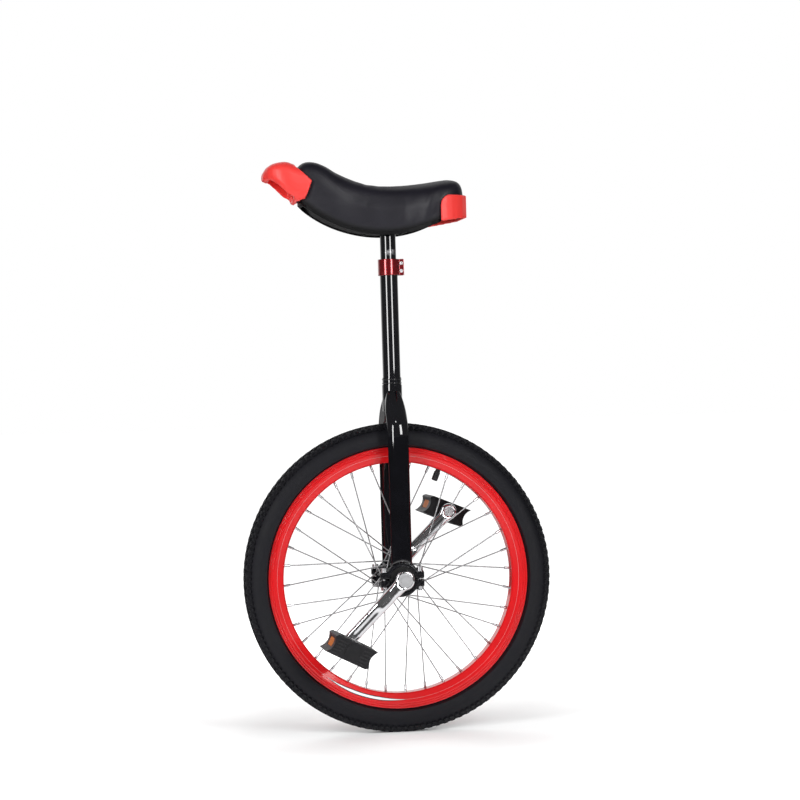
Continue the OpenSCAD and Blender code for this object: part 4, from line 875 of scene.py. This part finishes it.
class UNICYCLE_OT_saddle(UnicycleOperator):
    """Fill and cover the saddle pad, and finish the tray under it"""

    bl_idname = "unicycle.saddle"
    bl_label = "Saddle"

    HELD_BELOW = -0.5  # points whose normal falls below this in Z stay still
    ROOF_FACING, WALL_FACING = 0.8, 0.6  # how far the roof and walls of the hollow face outwards
    SIDE_FROM, SIDE_RANGE = 0.5, 0.4  # how far a flank turns to the side before it folds
    FOLD_FROM_TAIL, FOLD_SPREAD, FOLD_LEAN, FOLD_PITCH = 0.055, 0.022, 0.35, 0.021

    def cover(self):
        """Embossed vinyl with a soft sheen, with painted shade in the valleys of its grain and along its
        dull lower edge.
        """
        tone = tuple(settings().colours.vinyl)
        made = finish(
            "saddle vinyl", tone, darker(tone, 1.3), (0.40, 0.50), cloud=22.0, Specular_IOR_Level=0.4
        )
        tree = made.node_tree
        shader = tree.nodes["Principled BSDF"]
        grain = group_node(tree, shared("grain"), Scale=520.0)
        # The valleys of the grain are darkened as painted shade, and made rougher.
        valley_shade = math_node(tree, "MULTIPLY", grain.outputs["Valley"], 0.5)
        overlay(made, valley_shade, darker(tone, 0.55), 0.55)
        how = settings().saddle
        axes = axes_of(tree)
        ahead = math_node(tree, "SUBTRACT", axes["X"], how.arc_x)
        above = math_node(tree, "SUBTRACT", axes["Z"], how.arc_z)
        reach = distance(tree, ahead, above)
        # Band along the lower edge of the pad, made dull and darkened nearly to black as painted shade
        # under the pad.
        painted_hem_shade = ramp(tree, reach, how.arc_r + how.wrap - how.hem, how.arc_r)
        overlay(made, painted_hem_shade, darker(tone, 0.15), 0.85)
        bump_by(tree, shader, grain.outputs["Height"], 8e-5, 0.6)
        return made

    def filled(self, piece, how):
        """Blows the pad up against its cover, and holds each point near its start."""
        start = [v.co.copy() for v in piece.data.vertices]
        held = piece.vertex_groups.new(name="held")
        for v in piece.data.vertices:
            if v.normal.z < self.HELD_BELOW:
                held.add([v.index], 1.0, "REPLACE")
        cloth = piece.modifiers.new("Filling", "CLOTH")
        cloth.settings.use_pressure = True
        cloth.settings.uniform_pressure_force = how.pressure
        cloth.settings.effector_weights.gravity = 0
        cloth.settings.vertex_group_mass = held.name
        scene = bpy.context.scene
        for step in range(1, how.frames + 1):
            scene.frame_set(step)
        settled(piece)
        scene.frame_set(1)
        for v, at in zip(piece.data.vertices, start):
            move = v.co - at
            if move.length > how.cap:
                v.co = at + move.normalized() * how.cap

    def solid_pad(self, how):
        """Bmesh of the pad with the hollow for its tray closed."""
        bm = copy_of("saddle_pad")
        bm.normal_update()
        middle_x = (PAD_LOW.x + PAD_HIGH.x) / 2
        hollow = []
        for face in bm.faces:
            at = face.calc_center_median()
            down = Vector((at.x - how.arc_x, 0, at.z - how.arc_z))
            depth = how.arc_r - down.length
            if depth < how.tray_h:
                facing = face.normal.dot(down.normalized())
                inward = face.normal.x * (at.x - middle_x) + face.normal.y * at.y < 0
                roof = facing > self.ROOF_FACING and depth > how.tray_h / 3
                if roof or (abs(facing) < self.WALL_FACING and inward):
                    hollow.append(face)
        bmesh.ops.delete(bm, geom=hollow, context="FACES")
        bmesh.ops.holes_fill(bm, edges=[e for e in bm.edges if e.is_boundary], sides=0)
        bmesh.ops.triangulate(bm, faces=bm.faces[:])
        return bm

    def shape(self, mesh, how):
        """Smooths the cells away, pulls the lower edge of the cover down over the tray, and draws
        shallow folds beside the tail."""
        bm = bmesh.new()
        bm.from_mesh(mesh)
        even_out(bm, how.smoothing)
        for v in bm.verts:
            down = Vector((v.co.x - how.arc_x, 0, v.co.z - how.arc_z))
            low = min(1.0, max(0.0, 1 - (how.arc_r - down.length) / (2 * how.hem)))
            v.co += down.normalized() * (how.wrap * low ** 2)
            side = min(1.0, max(0.0, (abs(v.normal.y) - self.SIDE_FROM) / self.SIDE_RANGE))
            tail = math.exp(-(((v.co.x - PAD_LOW.x - self.FOLD_FROM_TAIL) / self.FOLD_SPREAD) ** 2))
            fold = math.sin((v.co.x + v.co.z * self.FOLD_LEAN) * math.tau / self.FOLD_PITCH)
            v.co += v.normal * (how.crease * side * tail * fold)
        bm.to_mesh(mesh)
        bm.free()

    def execute(self, context):
        how = settings().saddle
        piece = new_piece("saddle_cushion", self.solid_pad(how))
        remeshed(piece, how.voxel)
        smoothed(piece.data, 0, -how.inset)
        self.filled(piece, how)
        self.shape(piece.data, how)
        piece.data.shade_smooth()
        stand_for(piece, "saddle_pad")
        paint(self.cover(), piece)
        tray = finish(
            "saddle tray plastic", (0.002, 0.002, 0.0025), (0.003, 0.003, 0.0035), (0.45, 0.55),
            cloud=90.0, peel=3e-5, peel_scale=1300.0, Specular_IOR_Level=0.15,
        )
        paint(tray, "saddle_base")
        return {"FINISHED"}


class UNICYCLE_OT_trim(UnicycleOperator):
    """Round off the red handle and bumper of the saddle, and paint their screws"""

    bl_idname = "unicycle.trim"
    bl_label = "Saddle Trim"

    def execute(self, context):
        detail = settings().detail
        red = tuple(settings().colours.trim_red)
        plastic = finish(
            "red trim plastic", red, darker(red, 0.93), (0.36, 0.46), cloud=35.0, peel=2.5e-5,
            peel_scale=1400.0,
        )
        wear(plastic, 90.0, 0.008, darker(red, 0.75), 0.5)
        paint(plastic, "trim_screws")
        for name, node in (("handle_grip", "front_handle"), ("tail_bumper", "rear_bumper")):
            paint(plastic, softened_copy(name, node, detail.trim_cell, detail.rounding))
        return {"FINISHED"}


class UNICYCLE_OT_stage(UnicycleOperator):
    """Set the floor, the soft light and the camera"""

    bl_idname = "unicycle.stage"
    bl_label = "Studio"

    FLOOR_HALF = 40.0
    # Name, side, turn from the camera in degrees, and height
    SOFTBOXES = (("left_softbox", -1, 35, 1.4), ("right_softbox", 1, 33, 1.6))
    SOFTBOX_AWAY, SOFTBOX_SIZE = 3.0, (0.75, 2.0)
    WASHES = (("front_wash", 3), ("back_wash", -3))  # name and place along Y
    SENSOR_WIDTH, VIEW_END = 36, 100

    def floor(self):
        """Pale floor that keeps the shadow and meets a white background."""
        bm = bmesh.new()
        bmesh.ops.create_grid(bm, x_segments=2, y_segments=2, size=self.FLOOR_HALF)
        piece = new_piece("studio_floor", bm)
        made = bpy.data.materials.new("pale floor")
        made.use_nodes = True
        tree = made.node_tree
        shader = tree.nodes["Principled BSDF"]
        shader.inputs["Roughness"].default_value = 0.9
        shader.inputs["Specular IOR Level"].default_value = 0.0
        seen = add(tree, "ShaderNodeLightPath").outputs["Is Camera Ray"]
        away = add(tree, "ShaderNodeVectorMath", {0: object_place(tree)}, operation="LENGTH").outputs[1]
        lift = ramp(tree, away, 0.25, 1.6, 0.0, 1.1)
        pale = mix(tree, ramp(tree, away, 0.8, 2.4), (0.9, 0.9, 0.9), (0.1, 0.1, 0.1))
        tree.links.new(pale, shader.inputs["Base Color"])
        tree.links.new(math_node(tree, "MULTIPLY", seen, lift), shader.inputs["Emission Strength"])
        shader.inputs["Emission Color"].default_value = (1, 1, 1, 1)
        paint(made, piece)
        return piece

    def world(self, ambient):
        """White behind the object, a dim room in front of it, and an even light from all round."""
        made = bpy.data.worlds.new("studio")
        made.use_nodes = True
        bpy.context.scene.world = made
        tree = made.node_tree
        back = tree.nodes["Background"]
        rays = add(tree, "ShaderNodeLightPath").outputs
        view = add(tree, "ShaderNodeTexCoord").outputs["Generated"]
        way = add(tree, "ShaderNodeSeparateXYZ", {"Vector": view}).outputs
        room = ramp(tree, way["Y"], -0.8, -0.5, 1.0, 0.1)
        glint = math_node(tree, "MAXIMUM", rays["Is Glossy Ray"], rays["Is Transmission Ray"])
        lit = ramp(tree, glint, 0.0, 1.0, ambient, room)
        tree.links.new(ramp(tree, rays["Is Camera Ray"], 0.0, 1.0, lit, 1.0), back.inputs["Strength"])
        back.inputs["Color"].default_value = (1, 1, 1, 1)

    def softbox(self, name, place, aim, size, watts):
        """Rectangular area light turned to a point."""
        data = bpy.data.lights.new(name, "AREA")
        data.shape = "RECTANGLE"
        data.size, data.size_y = size
        data.energy = watts
        lamp = bpy.data.objects.new(name, data)
        bpy.context.scene.collection.objects.link(lamp)
        lamp.location = place
        lamp.rotation_euler = (Vector(aim) - Vector(place)).to_track_quat("-Z", "Y").to_euler()
        return lamp

    def camera(self, studio):
        """Camera at the photograph's place, with its small roll."""
        back = Vector(studio.camera_back).normalized()
        right = Vector((0, 0, 1)).cross(back).normalized()
        up = back.cross(right)
        turn = studio.camera_roll
        across = right * math.cos(turn) + up * math.sin(turn)
        above = up * math.cos(turn) - right * math.sin(turn)
        data = bpy.data.cameras.new("camera")
        data.sensor_width = self.SENSOR_WIDTH
        data.lens = studio.lens
        data.clip_end = self.VIEW_END
        made = bpy.data.objects.new("camera", data)
        bpy.context.scene.collection.objects.link(made)
        turned = Matrix((across, above, back)).transposed().to_4x4()
        made.matrix_world = Matrix.Translation(studio.camera_place) @ turned
        bpy.context.scene.camera = made

    def lights(self, studio, floor):
        """Two softboxes beside the camera, a weak light overhead and a small high one, lights for the
        floor alone, and one from behind for all but the floor."""
        back = Vector(studio.camera_back)
        side = Vector((0, 0, 1)).cross(back).normalized()
        for name, sign, degrees, z in self.SOFTBOXES:
            turn = math.radians(degrees)
            way = back * math.cos(turn) + side * (sign * math.sin(turn))
            place = way * self.SOFTBOX_AWAY + Vector((0, 0, z))
            self.softbox(name, place, (0, 0, z), self.SOFTBOX_SIZE, studio.softbox_watts)
        top = self.softbox("top_light", (0, -0.4, 3.2), (0, 0, 0.3), (2.6, 2.6), studio.top_watts)
        top.visible_glossy = False
        floor_only = bpy.data.collections.new("floor_only")
        floor_only.objects.link(floor)
        for name, y in self.WASHES:
            wash = self.softbox(name, (0, y, 1.5), (0, 0, 0), (3.0, 1.5), studio.floor_watts)
            wash.visible_glossy = False
            wash.light_linking.receiver_collection = floor_only
        all_but_floor = bpy.data.collections.new("all_but_floor")
        all_but_floor.objects.link(floor)
        all_but_floor.collection_objects[0].light_linking.link_state = "EXCLUDE"
        fill = self.softbox("back_fill", (0, -3, 1.4), (0, 0, 0.5), (2.0, 2.0), studio.fill_watts)
        fill.visible_glossy = False
        fill.light_linking.receiver_collection = all_but_floor
        place = back * 2.0 + Vector((0, 0, 2.8))
        self.softbox("small_light", place, (0, 0, 0.5), (0.3, 0.3), studio.small_watts)

    def execute(self, context):
        studio = settings().studio
        bpy.context.scene.view_settings.view_transform = "Standard"
        floor = self.floor()
        self.world(studio.ambient)
        self.lights(studio, floor)
        self.camera(studio)
        return {"FINISHED"}


class UNICYCLE_PT_panel(bpy.types.Panel):
    """Lists the steps of the unicycle"""

    bl_label = "Unicycle"
    bl_idname = "UNICYCLE_PT_panel"
    bl_space_type = "VIEW_3D"
    bl_region_type = "UI"
    bl_category = "Unicycle"

    def draw(self, context):
        for step in STEPS:
            self.layout.operator(step.bl_idname)


STEPS = (
    UNICYCLE_OT_stage, UNICYCLE_OT_frame, UNICYCLE_OT_clamp, UNICYCLE_OT_fasteners,
    UNICYCLE_OT_tyre, UNICYCLE_OT_wheel, UNICYCLE_OT_drive, UNICYCLE_OT_saddle, UNICYCLE_OT_trim,
)
CLASSES = (
    UnicycleColours, UnicycleSaddle, UnicycleDetail, UnicycleLegs, UnicycleCranks, UnicycleStudio,
    UnicycleSettings, *STEPS, UNICYCLE_PT_panel,
)


def register():
    for cls in CLASSES:
        bpy.utils.register_class(cls)
    bpy.types.Scene.unicycle = PointerProperty(type=UnicycleSettings)


def unregister():
    del bpy.types.Scene.unicycle
    for cls in reversed(CLASSES):
        bpy.utils.unregister_class(cls)


def main():
    register()
    for step in STEPS:
        space, name = step.bl_idname.split(".")
        getattr(getattr(bpy.ops, space), name)()


if __name__ == "__main__":
    main()
